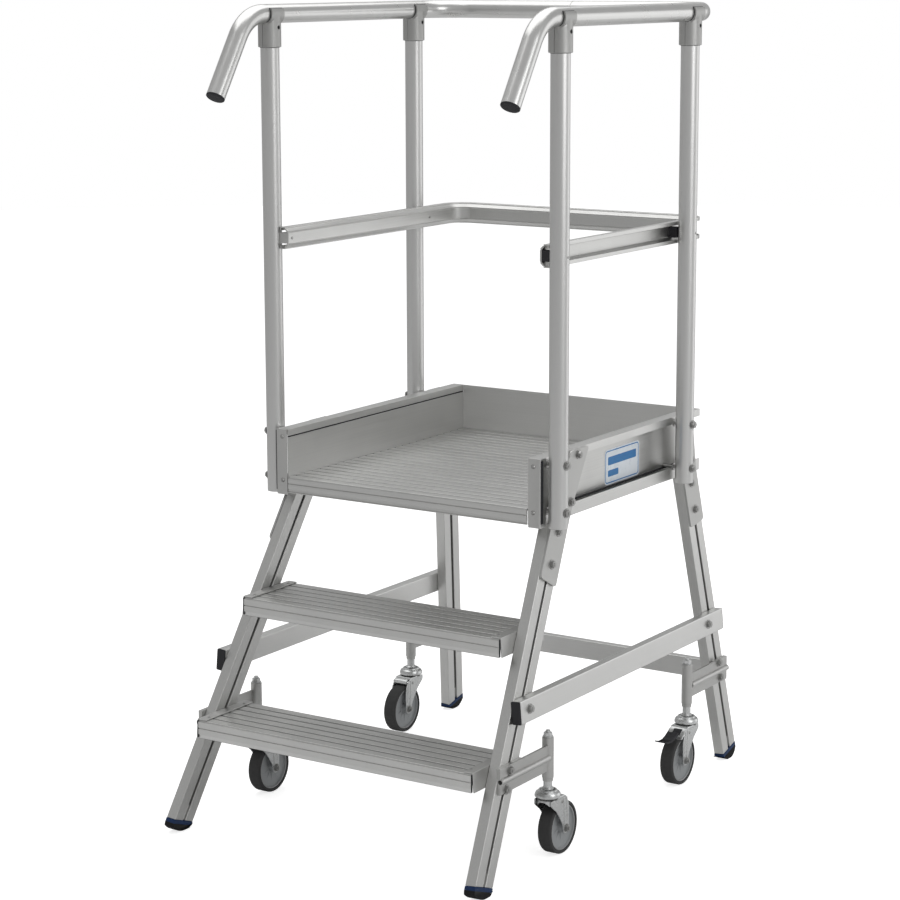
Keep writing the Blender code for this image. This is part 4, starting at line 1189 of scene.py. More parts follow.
@dataclass(frozen=True)
class Posts:
    """Four round posts with the bolts that hold them to the side beams."""

    bottom: float = 0.680
    wall: float = 0.002
    bolt_heights: tuple[float, float] = (0.8110, 0.7130)

    def build(self, shop: Workshop, rows: FastenerRows) -> None:
        """Make the posts, their through bolts and the shanks that cross to the beams."""
        top = PLAN.rail_z - PLAN.rail_radius - 0.0008
        outer, inner = PLAN.post_radius, PLAN.post_radius - self.wall
        profile = [(outer - 0.0004, self.bottom), (outer, self.bottom + 0.0004), (outer, top), (inner, top),
                   (inner, self.bottom + 0.0004), (inner + 0.0004, self.bottom)]
        for row, y in PLAN.post_rows:
            for side in Side:
                x = side.value * PLAN.post_x
                tube = Stock.turned("tube", profile, 48, True, centre=(x, y, 0.0))
                shop.publish(f"post_tube_{row}_{side.label}", [Piece(Stock.shade(tube, 30.0), TUBE_METAL)],
                             replaces=[f"post_{row}_{side.label}"])
                heads = [((x + side.value * (outer - 0.0006), y, z), (side.value, 0.0, 0.0))
                         for z in self.bolt_heights]
                pieces = [rows.lay(Fastener.HEX_BOLT, heads, BOLT_METAL)]
                for z in self.bolt_heights:
                    shank = [(0.0040, 0.3038), (0.0040, PLAN.post_x - outer + 0.001)]
                    collar = [(0.0085, PLAN.beam_outer + 0.0004), (0.0085, PLAN.beam_outer + 0.0022)]
                    for profile_x in (shank, collar):
                        run = [(radius, side.value * height) for radius, height in profile_x]
                        mesh = Stock.turned("shank", run, 24, axis="X", centre=(0.0, y, z))
                        pieces.append(Piece(Stock.shade(mesh), BOLT_METAL))
                shop.publish(f"post_bolts_{row}_{side.label}", pieces)


@dataclass(frozen=True)
class KneeRail:
    """Channel inside the posts with its open side towards them."""

    bottom: float = 1.209
    height: float = 0.0475
    thickness: float = 0.022
    wall: float = 0.0025
    web: float = 0.026
    chamfer: float = 0.009
    lip: float = 0.008
    front_y: float = -0.003
    rear_y: float = 0.679
    bend: float = 0.045
    screw_y: float = 0.010
    spacer_lead: float = 0.012
    spacer_depth: float = 0.016
    spacer_half_height: float = 0.0115

    @property
    def centre_x(self) -> float:
        """X of the channel's middle on the right side."""
        return PLAN.post_x - PLAN.post_radius - 0.002 - self.thickness / 2.0

    def section(self) -> list[Flat]:
        """Channel section; positive is towards the climber."""
        inner, wall = self.thickness / 2.0, self.wall
        edge, high, web = inner - self.chamfer, self.height / 2.0, self.web / 2.0
        upper = [(inner, web - 0.0014), (inner - 0.0016, web - 0.0010), (inner - 0.0016, web + 0.0004),
                 (inner - 0.0002, web + 0.0012), (edge + 0.0022, high - 0.0032),
                 (edge + 0.0006, high - 0.0030), (edge + 0.0002, high - 0.0016),
                 (edge + 0.0008, high - 0.0008), (edge - 0.0004, high), (-inner, high),
                 (-inner, high - self.lip), (wall - inner, high - self.lip),
                 (wall - inner, high - wall), (edge - 0.0030, high - wall),
                 (inner - 0.0042, web - wall / 2.0)]
        return upper + [(a, -b) for a, b in reversed(upper)]

    def build(self, shop: Workshop, rows: FastenerRows) -> None:
        """Make the channel, its inner screws and the spacers and rivets at the posts."""
        x, z = self.centre_x, self.bottom + self.height / 2.0
        corner = Stock.arc((self.bend - x, self.rear_y - self.bend), self.bend, 180.0, 90.0, 14)
        half = [Vector((-x, self.front_y, z))] + [Vector((a, b, z)) for a, b in corner]
        path = half + [Vector((-point.x, point.y, point.z)) for point in reversed(half)]
        channel = Stock.loft("channel", Sweep.rings(path, self.section()), False)
        shop.publish("knee_channel", [Piece(Stock.ease(channel, 0.0006, 2, 38.0), DRAWN_Y)],
                     replaces=["knee_rail"])
        inner_x, tall, screws, spacers = x - self.thickness / 2.0, self.spacer_half_height, [], []
        for side in Side:
            for y in (self.screw_y, PLAN.post_gap_y - 0.004):
                screws.append(((side.value * inner_x, y, z), (-side.value, 0.0, 0.0)))
            for _, y in PLAN.post_rows:
                ends = sorted(side.value * end
                              for end in (inner_x + self.wall, PLAN.post_x - PLAN.post_radius))
                front = max(y - self.spacer_lead, self.front_y + 0.0004)
                low, high = (ends[0], front, z - tall), (ends[1], front + self.spacer_depth, z + tall)
                # Black on the right paints the shade that the posts cast on those spacers; the left ones are
                # bare plate.
                finish = PLATE_METAL if side is Side.LEFT else BLACK_PLASTIC_AND_PAINTED_SHADE
                spacers.append(Piece(Stock.ease(Stock.block("spacer", low, high), 0.0008), finish))
        heads = [((side.value * (PLAN.post_x + PLAN.post_radius - 0.0005), y, z), (side.value, 0.0, 0.0))
                 for side in Side for _, y in PLAN.post_rows]
        rivets = [rows.lay(Fastener.RIVET, seats, BOLT_METAL) for seats in (screws, heads)]
        shop.publish("knee_rail_fixings", rivets + spacers)


# ==================================================================== platform
@dataclass(frozen=True)
class Plank:
    """Ribbed extrusion with a nose, seen from its side."""

    top: float
    front: float
    depth: float
    height: float
    half_width: float
    rib_count: int
    cells: int
    nose_cuts: tuple[tuple[float, float, float], ...]
    groove: float = 0.0052
    rib_height: float = 0.0026
    skin: float = 0.0025

    def outline(self) -> list[Flat]:
        """Side view with the nose's grooves and the hollow cells below."""
        floor = self.top - self.rib_height
        low = self.top - self.height
        nose = [(self.front, floor)]
        for start, end, depth in self.nose_cuts:
            nose += [(self.front, self.top - start), (self.front + depth, self.top - start - 0.0003),
                     (self.front + depth, self.top - end + 0.0003), (self.front, self.top - end)]
        nose.append((self.front, low))
        if self.nose_cuts[-1][1] >= self.height:
            nose = nose[:-2] + [(nose[-3][0], low)]
        rear = self.front + self.depth
        points = nose[::-1] + [(rear, floor), (rear, low)]
        under = floor - self.skin
        for i in range(self.cells, 0, -1):
            right = self.front + self.depth * i / self.cells - self.skin * (1.0 if i == self.cells else 0.5)
            left = self.front + self.depth * (i - 1) / self.cells + self.skin * (1.6 if i == 1 else 0.5)
            points += [(right, low), (right, under), (left, under), (left, low)]
        return points

    def pieces(self, bars: BarRows) -> list[Piece]:
        """The extrusion, its grip ribs and the floors between them, dark with painted shade."""
        body = Stock.along("plank", [self.outline()], "X", -self.half_width, self.half_width)
        pitch = self.depth / self.rib_count
        size = (2.0 * self.half_width, pitch - self.groove, self.rib_height + 0.0014)
        first = (0.0, self.front + pitch / 2.0, self.top - size[2] / 2.0)
        floor = (2.0 * self.half_width - 0.0008, self.groove - 0.0004, self.rib_height - 0.0005)
        second = (0.0, self.front + pitch, self.top - self.rib_height)
        return [Piece(Stock.ease(body, 0.0007), DRAWN_X),
                bars.lay(self.rib_count, pitch, size, first, DRAWN_X, 0.0011),
                # The floor bars paint the shade in the grooves between the ribs.
                bars.lay(self.rib_count - 1, pitch, floor, second, PAINTED_SHADE_METAL, 0.0002)]


@dataclass(frozen=True)
class BeamLabel:
    """Plain decal on the right beam's web: a pale film, a rounded border and two bars."""

    middle: Flat = (0.359, 0.750)
    half: Flat = (0.076, 0.0385)
    corner: float = 0.009
    margin: float = 0.003
    line: float = 0.0024
    film: float = 0.0002
    ink: float = 0.0003
    blocks: tuple[tuple[float, float, float, float], ...] = ((0.014, 0.138, 0.042, 0.060),
                                                             (0.014, 0.060, 0.017, 0.031))

    def outline(self, inset: float, corner: float) -> list[Flat]:
        """Rounded rectangle that far inside the film's edge."""
        low = (self.middle[0] - self.half[0] + inset, self.middle[1] - self.half[1] + inset)
        high = (self.middle[0] + self.half[0] - inset, self.middle[1] + self.half[1] - inset)
        return Stock.rounded(low, high, corner)

    def pieces(self, face: float) -> list[Piece]:
        """Film, border and bars on the web's outer face."""
        film = Stock.along("film", [self.outline(0.0, self.corner)], "X", face, face + self.film)
        edges = (self.outline(self.margin, self.corner - 0.0015),
                 self.outline(self.margin + self.line, self.corner - 0.0039))
        border = Stock.prism("border", *([[(x, y, z) for y, z in loop] for loop in edges]
                                         for x in (face, face + self.ink)))
        ink = [border]
        left, bottom = self.middle[0] - self.half[0], self.middle[1] - self.half[1]
        for start, end, low, high in self.blocks:
            block = Stock.rounded((left + start, bottom + low), (left + end, bottom + high), 0.003)
            ink.append(Stock.along("block", [block], "X", face, face + self.ink))
        return [Piece(film, LABEL_FILM)] + [Piece(mesh, LABEL_INK) for mesh in ink]


@dataclass(frozen=True)
class Platform:
    """Deck, side beams with their toe boards, front corners and the rear toe board."""

    wall: float = 0.0025
    top_lip: float = 0.016
    bottom_lip: float = 0.026
    deck_front: float = -0.033
    board_wall: float = 0.003
    groove_z: float = 0.808
    groove_depth: float = 0.0018
    pad_y: Flat = (-0.0295, -0.0220)
    pad_z: Flat = (0.690, 0.820)
    screw_heights: tuple[float, float] = (0.808, 0.7125)

    def beam(self, side: Side) -> Mesh:
        """Outward-facing channel with a groove along its inner face."""
        inner, outer, wall = PLAN.beam_inner, PLAN.beam_outer, self.wall
        low, high = PLAN.beam_bottom, PLAN.beam_top
        groove, floor = self.groove_z, inner + self.groove_depth
        lip_low, lip_high = low + self.bottom_lip, high - self.top_lip
        outline = [(inner, low), (outer, low), (outer, lip_low), (outer - wall, lip_low),
                   (outer - wall, low + wall), (inner + wall, low + wall), (inner + wall, high - wall),
                   (outer - wall, high - wall), (outer - wall, lip_high), (outer, lip_high),
                   (outer, high), (inner, high), (inner, groove + 0.0017), (floor, groove + 0.0013),
                   (floor, groove - 0.0013), (inner, groove - 0.0017)]
        mesh = Stock.along("beam", [outline], "Y", PLAN.beam_front, PLAN.beam_rear, side.value)
        return Stock.ease(mesh, 0.0005)

    def seals(self, side: Side) -> list[Piece]:
        """Strips of painted shade: in the beam's groove, on its web by both lips, along the deck's edge and
        in the gap before the front post.
        """
        inner, outer, web, top = PLAN.beam_inner, PLAN.beam_outer, PLAN.beam_inner + self.wall, PLAN.deck_top
        front, rear = PLAN.beam_front + 0.001, PLAN.beam_rear - 0.001
        lip_low, lip_high = PLAN.beam_bottom + self.bottom_lip, PLAN.beam_top - self.top_lip
        strips = (((inner + 0.0006, front, self.groove_z - 0.0011),
                   (inner + 0.0020, rear, self.groove_z + 0.0011)),
                  ((web - 0.0001, front, lip_high - 0.0080), (web + 0.0005, rear, lip_high - 0.0020)),
                  ((web - 0.0001, front, lip_low - 0.0060), (web + 0.0005, rear, lip_low - 0.0016)),
                  ((PLAN.deck_half - 0.0026, self.deck_front + 0.004, top - 0.0036),
                   (inner + 0.0002, rear - 0.005, top - 0.0008)),
                  ((outer + 0.0029, self.pad_y[0], self.pad_z[0]),
                   (outer + 0.0046, self.pad_y[1], self.pad_z[1])))
        pieces = []
        for low, high in strips:
            ends = sorted((low[0] * side.value, high[0] * side.value))
            mesh = Stock.block("strip", (ends[0], low[1], low[2]), (ends[1], high[1], high[2]))
            pieces.append(Piece(Stock.ease(mesh, 0.0002, 1), BLACK_PLASTIC_AND_PAINTED_SHADE))
        return pieces

    def corner(self, side: Side) -> Mesh:
        """Bent plate over the front end of a beam."""
        outer = PLAN.beam_outer + 0.0028
        back = PLAN.beam_front - 0.0003
        front = back - self.wall
        bend = Stock.arc((outer - 0.004, front + 0.004), 0.004, -90.0, 0.0, 8)
        inside = Stock.arc((outer - 0.004, front + 0.004), 0.0015, 0.0, -90.0, 4)
        start = outer - 0.0285
        hem = [(outer, -0.009), (outer - self.wall, -0.009)]
        outline = [(start, front)] + bend + hem + inside + [(start, back)]
        mesh = Stock.along("corner", [outline], "Z", PLAN.beam_bottom - 0.004, PLAN.beam_top, side.value)
        return Stock.ease(mesh, 0.0005)

    def build(self, shop: Workshop, rows: FastenerRows, bars: BarRows) -> None:
        """Make the platform's pieces."""
        depth = PLAN.beam_rear - self.board_wall - GAP - self.deck_front
        cuts = ((0.0130, 0.0150, 0.0022), (0.0250, 0.0320, 0.0026))
        deck = Plank(PLAN.deck_top, self.deck_front, depth, 0.034, PLAN.deck_half, 24, 4, cuts)
        shop.publish("deck_planks", deck.pieces(bars), replaces=["platform_deck"])
        for side in Side:
            shop.publish(f"beam_{side.label}", [Piece(self.beam(side), DRAWN_Y)],
                         replaces=[f"side_beam_{side.label}"])
            shop.publish(f"corner_plate_{side.label}", [Piece(self.corner(side), PLATE_METAL)],
                         replaces=[f"corner_angle_{side.label}"])
            shop.publish(f"beam_seals_{side.label}", self.seals(side))
            seats = [((side.value * 0.315, PLAN.beam_front - 0.0028, z), (0.0, -1.0, 0.0))
                     for z in self.screw_heights]
            shop.publish(f"corner_screws_{side.label}", [rows.lay(Fastener.PAN_SCREW, seats, BOLT_METAL)])
        low = (0.0006 - PLAN.beam_inner, PLAN.beam_rear - self.board_wall, PLAN.beam_bottom)
        board = Stock.block("board", low, (-low[0], PLAN.beam_rear, PLAN.beam_top))
        # The lighter board metal is painted light on the board's face.
        shop.publish("toe_board_rear", [Piece(Stock.ease(board, 0.0008), BOARD_PAINTED_LIGHT_METAL)],
                     replaces=["rear_toe_board"])
        label = BeamLabel().pieces(PLAN.beam_inner + self.wall + 0.0001)
        shop.publish("beam_label", label)


# ==================================================================== legs
@dataclass(frozen=True)
class Legs:
    """Slotted box legs, their feet and the gussets that bolt them to the beams."""

    slot_width: float = 0.0095
    slot_depth: float = 0.0060
    strip_height: float = 0.0022
    strip_bottom: float = 0.052
    gusset: float = 0.005
    gusset_corner: float = 0.008
    gusset_top: float = 0.823
    gusset_bottom: float = 0.569
    bolt_heights: tuple[float, ...] = (0.811, 0.7160, 0.663, 0.602)
    second_bolt: tuple[float, float] = (0.0246, 0.0110)

    def section(self, line: LegLine) -> list[Flat]:
        """Level section as (inward, rearward) points, slotted on both broad faces."""
        far, slot = PLAN.leg_thickness, self.slot_depth
        low, high = (line.depth - self.slot_width) / 2.0, (line.depth + self.slot_width) / 2.0
        return [(0.0, 0.0), (far, 0.0), (far, low), (far - slot, low), (far - slot, high), (far, high),
                (far, line.depth), (0.0, line.depth), (0.0, high), (slot, high), (slot, low), (0.0, low)]

    def leg(self, line: LegLine, side: Side) -> Mesh:
        """One leg from its beam down to its foot."""
        top = PLAN.beam_bottom - GAP
        ends = []
        for fixed in (True, False):
            loop = []
            for a, b in self.section(line):
                z = top if fixed else line.cut(a, b, 0.0)
                loop.append((side.value * (PLAN.leg_outer(z) - a), line.face_y(z) + b, z))
            ends.append([loop])
        return Stock.ease(Stock.prism("leg", ends[0], ends[1]), 0.0014, 3)

    def slot_shade_strips(self, line: LegLine, side: Side) -> list[Piece]:
        """Strips of painted shade along the bottoms of a leg's two slots."""
        half = self.slot_width / 2.0 - 0.0006
        near, far = line.depth / 2.0 - half, line.depth / 2.0 + half
        outer_floor, inner_floor = self.slot_depth, PLAN.leg_thickness - self.slot_depth
        top, bottom = PLAN.beam_bottom - 0.002, self.strip_bottom
        pieces = []
        for start, end in ((outer_floor - self.strip_height, outer_floor + 0.0004),
                           (inner_floor - 0.0004, inner_floor + self.strip_height)):
            section = [(start, near), (end, near), (end, far), (start, far)]
            ends = [[[(side.value * (PLAN.leg_outer(z) - a), line.face_y(z) + b, z) for a, b in section]]
                    for z in (top, bottom)]
            pieces.append(Piece(Stock.prism("floor", ends[0], ends[1]), PAINTED_SHADE_METAL))
        return pieces

    def foot_outline(self, line: LegLine, inward: float, collar: bool) -> list[Flat]:
        """Side view of a foot's collar or of the sole under it.

        Args:
            line: The leg.
            inward: Depth across the leg.
            collar: The collar, rather than the sole.

        Returns:
            Points of (y, z).
        """
        foot, out = line.foot, line.outward
        toe_back = line.depth if out > 0 else 0.0
        heel_back = line.depth - toe_back
        seam = [line.cut(inward, back, GAP + foot.collar) for back in (toe_back, heel_back)]
        toe_y, heel_y = line.outer_edge(seam[0]), line.inner_edge(seam[1])
        if collar:
            tops = [line.cut(inward, back, GAP) for back in (toe_back, heel_back)]
            return [(line.outer_edge(tops[0]), tops[0]), (toe_y, seam[0]), (heel_y, seam[1]),
                    (line.inner_edge(tops[1]), tops[1])]
        top_toe = line.outer_edge(line.cut(inward, toe_back, GAP))
        toe = (top_toe + out * foot.toe_reach,
               max(0.006, foot.toe_z - foot.collar * 0.55 - PLAN.splay * inward))
        flat_toe = top_toe + out * (foot.toe_reach - foot.flat_from_edge)
        run = abs(flat_toe - toe[0])
        radius = (run * run + toe[1] * toe[1]) / (2.0 * toe[1])
        sweep = math.asin(min(1.0, run / radius))
        sole = []
        for i in range(13):
            angle = sweep * (1.0 - i / 12.0)
            sole.append((flat_toe + out * radius * math.sin(angle), radius * (1.0 - math.cos(angle))))
        top_heel = line.inner_edge(line.cut(inward, heel_back, GAP))
        heel = (top_heel - out * foot.heel_reach, foot.heel_z)
        return [(toe_y, seam[0])] + sole + [(flat_toe - out * foot.flat, 0.0), heel, (heel_y, seam[1])]

    def foot(self, line: LegLine, side: Side) -> list[Piece]:
        """Coloured collar and black rounded sole of one foot."""
        pieces = []
        for collar, finish, edge in ((True, COLLAR_PLASTIC, 0.0007), (False, SOLE_RUBBER, 0.0016)):
            loops = []
            for inward in (-0.0004, PLAN.leg_thickness + 0.0004):
                outline = self.foot_outline(line, inward, collar)
                loops.append([[(side.value * (PLAN.leg_outer(z) - inward), y, z) for y, z in outline]])
            pieces.append(Piece(Stock.ease(Stock.prism("foot", loops[0], loops[1]), edge, 3), finish))
        return pieces

    def gusset_plate(self, line: LegLine, side: Side) -> Mesh:
        """Bent plate from the beam down onto the leg, its corners round."""
        top, bottom, corner = self.gusset_top, self.gusset_bottom, self.gusset_corner
        length = math.hypot(1.0, line.lean)
        along, across = (line.lean / length, 1.0 / length), (1.0 / length, -line.lean / length)
        half = line.depth / length / 2.0
        rows = []
        for i in range(9):
            angle = math.pi / 2.0 * i / 8.0
            inset, z = corner * (1.0 - math.sin(angle)), top - corner * (1.0 - math.cos(angle))
            rows.append(((line.face_y(z) + inset, z), (line.face_y(z) + line.depth - inset, z)))
        bend_z = PLAN.beam_bottom + 0.0009 / PLAN.splay
        rows.append(((line.face_y(bend_z), bend_z), (line.face_y(bend_z) + line.depth, bend_z)))
        middle = (line.middle_y(bottom), bottom)
        for i in range(9):
            angle = math.pi / 2.0 * i / 8.0
            reach, rise = half - corner * (1.0 - math.cos(angle)), corner * (1.0 - math.sin(angle))
            rows.append(tuple((middle[0] + across[0] * reach * end + along[0] * rise,
                               middle[1] + across[1] * reach * end + along[1] * rise) for end in (-1.0, 1.0)))
        rings = []
        for front, rear in rows:
            ring = []
            for out, (y, z) in ((0.0, front), (0.0, rear), (self.gusset, rear), (self.gusset, front)):
                ring.append((side.value * (max(PLAN.beam_outer, PLAN.leg_outer(z)) + GAP + out), y, z))
            rings.append(ring)
        return Stock.ease(Stock.loft("gusset", rings, False), 0.0008, 2)

    def gusset_bolts(self, line: LegLine, side: Side) -> list[tuple[Vector, Vector]]:
        """Seats of the bolts down the middle of a gusset."""
        seats = []
        for index, z in enumerate(self.bolt_heights):
            y = line.middle_y(z)
            if index == 1:
                y += self.second_bolt[LINES.index(line)]
            if z > PLAN.beam_bottom:
                seats.append((Vector((side.value * (PLAN.beam_outer + GAP + self.gusset), y, z)),
                              Vector((side.value, 0.0, 0.0))))
            else:
                seats.append(PLAN.tilted(side, z, y, GAP + self.gusset - 0.0002))
        return seats

    def build(self, shop: Workshop, rows: FastenerRows) -> None:
        """Make the legs, feet and gussets."""
        for line in LINES:
            metal = FRONT_LEG_METAL if line is FRONT_LINE else REAR_LEG_METAL
            for side in Side:
                spot = f"{line.name}_{side.label}"
                extrusion = [Piece(self.leg(line, side), metal)] + self.slot_shade_strips(line, side)
                shop.publish(f"leg_extrusion_{spot}", extrusion,
                             replaces=[f"leg_{spot}"])
                shop.publish(f"foot_cap_{spot}", self.foot(line, side),
                             replaces=[f"foot_{spot}"])
                shop.publish(f"gusset_plate_{spot}", [Piece(self.gusset_plate(line, side), PLATE_METAL)],
                             replaces=[f"gusset_{spot}"])
                bolts = rows.lay(Fastener.HEX_BOLT, self.gusset_bolts(line, side), BOLT_METAL, 5)
                shop.publish(f"gusset_bolts_{spot}", [bolts])


# ==================================================================== treads and braces
@dataclass(frozen=True)
class Treads:
    """Two ribbed treads and the brackets at their ends."""

    depth: float = 0.1655
    overhang: float = 0.0625
    height: float = 0.038
    plate: float = 0.003
    flange: float = 0.020
    flange_thickness: float = 0.0028
    gap: float = 0.0026
    rivet_ys: Flat = (0.022, 0.142)

    def build(self, shop: Workshop, rows: FastenerRows, bars: BarRows) -> None:
        """Make both treads with their brackets, and black strips that paint the shade in the gaps between
        them.
        """
        cuts = ((0.0160, 0.0178, 0.0020), (0.0300, 0.0400, 0.0026))
        for step, name in ((1, "lower"), (2, "upper")):
            top = PLAN.step_pitch * step
            front = FRONT_LINE.face_y(top) - self.overhang
            over = top + GAP + self.flange_thickness
            half = PLAN.leg_inner(over) - GAP - self.plate - GAP
            plank = Plank(top, front, self.depth, self.height, half, 6, 1, cuts)
            shop.publish(f"tread_plank_{name}", plank.pieces(bars),
                         replaces=[f"tread_{name}"])
            low = top - self.height
            start = half + GAP - self.flange
            section = [(PLAN.leg_inner(low) - GAP, low), (PLAN.leg_inner(over) - GAP, over), (start, over),
                       (start, top + GAP), (PLAN.leg_inner(top) - GAP - self.plate, top + GAP),
                       (PLAN.leg_inner(low) - GAP - self.plate, low)]
            for side in Side:
                mesh = Stock.along("bracket", [section], "Y", front + 0.0022, front + self.depth - 0.0006,
                                   side.value)
                # Black strip at the tread's end: painted shade in the gap beside the bracket.
                end, far = half + 0.0002, half + self.gap
                gap = [(end, low + 0.001), (far, low + 0.001), (far, top - 0.0006), (end, top - 0.0006)]
                gap_shade = Stock.along("gap", [gap], "Y", front + 0.0004, front + 0.0024, side.value)
                rivets = [((side.value * (start + 0.007), front + y, over), (0.0, 0.0, 1.0))
                          for y in self.rivet_ys]
                pieces = [Piece(Stock.ease(mesh, 0.0010, 3), PLATE_METAL), Piece(gap_shade, BLACK_PLASTIC_AND_PAINTED_SHADE),
                          rows.lay(Fastener.RIVET, rivets, BOLT_METAL)]
                shop.publish(f"bracket_{name}_{side.label}", pieces,
                             replaces=[f"tread_bracket_{name}_{side.label}"])


@dataclass(frozen=True)
class Braces:
    """Flat tubes along both sides and between the rear legs."""

    side_z: float = 0.338
    side_height: float = 0.048
    thickness: float = 0.022
    wall: float = 0.002
    front_inset: float = 0.003
    rear_inset: float = 0.012
    bolt_ys: tuple[float, float] = (-0.152, 0.627)
    rear_z: float = 0.2205
    rear_height: float = 0.044
    rear_offset: float = 0.005

    def side_section(self, inset: float, side: Side) -> list[Flat]:
        """Rounded section of a side brace, lying on the splayed legs."""
        size = math.hypot(1.0, PLAN.splay)
        up, out = (-PLAN.splay / size, 1.0 / size), (1.0 / size, PLAN.splay / size)
        half = self.side_height / 2.0 - inset
        corners = Stock.rounded((GAP + inset, -half), (self.thickness - inset, half), 0.0028 - 0.5 * inset)
        base = PLAN.leg_outer(self.side_z)
        return [(side.value * (base + up[0] * b + out[0] * a), self.side_z + up[1] * b + out[1] * a)
                for a, b in corners]

    def build(self, shop: Workshop, rows: FastenerRows) -> None:
        """Make the braces with their caps and bolts."""
        front = FRONT_LINE.face_y(self.side_z) + self.front_inset
        rear = REAR_LINE.face_y(self.side_z) + REAR_LINE.depth - self.rear_inset
        for side in Side:
            loops = [self.side_section(0.0, side), self.side_section(self.wall, side)]
            tube = Stock.shade(Stock.along("brace", loops, "Y", front, rear), 30.0)
            shop.publish(f"brace_tube_{side.label}", [Piece(tube, DRAWN_Y)],
                         replaces=[f"side_brace_{side.label}"])
            caps = []
            for low, high in ((front - 0.0028, front - 0.0002), (rear + 0.0002, rear + 0.0028)):
                cap = Stock.along("cap", [self.side_section(0.0004, side)], "Y", low, high)
                caps.append(Piece(Stock.ease(cap, 0.0008, 2), BLACK_PLASTIC_AND_PAINTED_SHADE))
            shop.publish(f"brace_caps_{side.label}", caps)
            seats = [PLAN.tilted(side, self.side_z + 0.002, y, self.thickness) for y in self.bolt_ys]
            shop.publish(f"brace_bolts_{side.label}", [rows.lay(Fastener.HEX_BOLT, seats, BOLT_METAL, 8)])
        start = REAR_LINE.face_y(self.rear_z) + self.rear_offset
        half = self.rear_height / 2.0
        ends = []
        for sign in (-1.0, 1.0):
            loops = []
            for inset in (0.0, self.wall):
                outline = Stock.rounded((start + inset, self.rear_z - half + inset),
                                        (start + self.thickness - inset, self.rear_z + half - inset),
                                        0.0028 - 0.5 * inset)
                loops.append([(sign * (PLAN.leg_inner(z) - GAP), y, z) for y, z in outline])
            ends.append(loops)
        tube = Stock.shade(Stock.prism("cross", ends[0], ends[1]), 30.0)
        shop.publish("brace_rear", [Piece(tube, DRAWN_X)], replaces=["rear_brace"])


# ==================================================================== casters
@dataclass(frozen=True)
class CasterPlace:
    """Where one pair of casters stands; trail is the way its wheel lies from the swivel."""

    line: LegLine
    axis_y: float
    trail: float
    sleeve_bottom: float
    sleeve_top: float
    bolts: tuple[Flat, Flat]


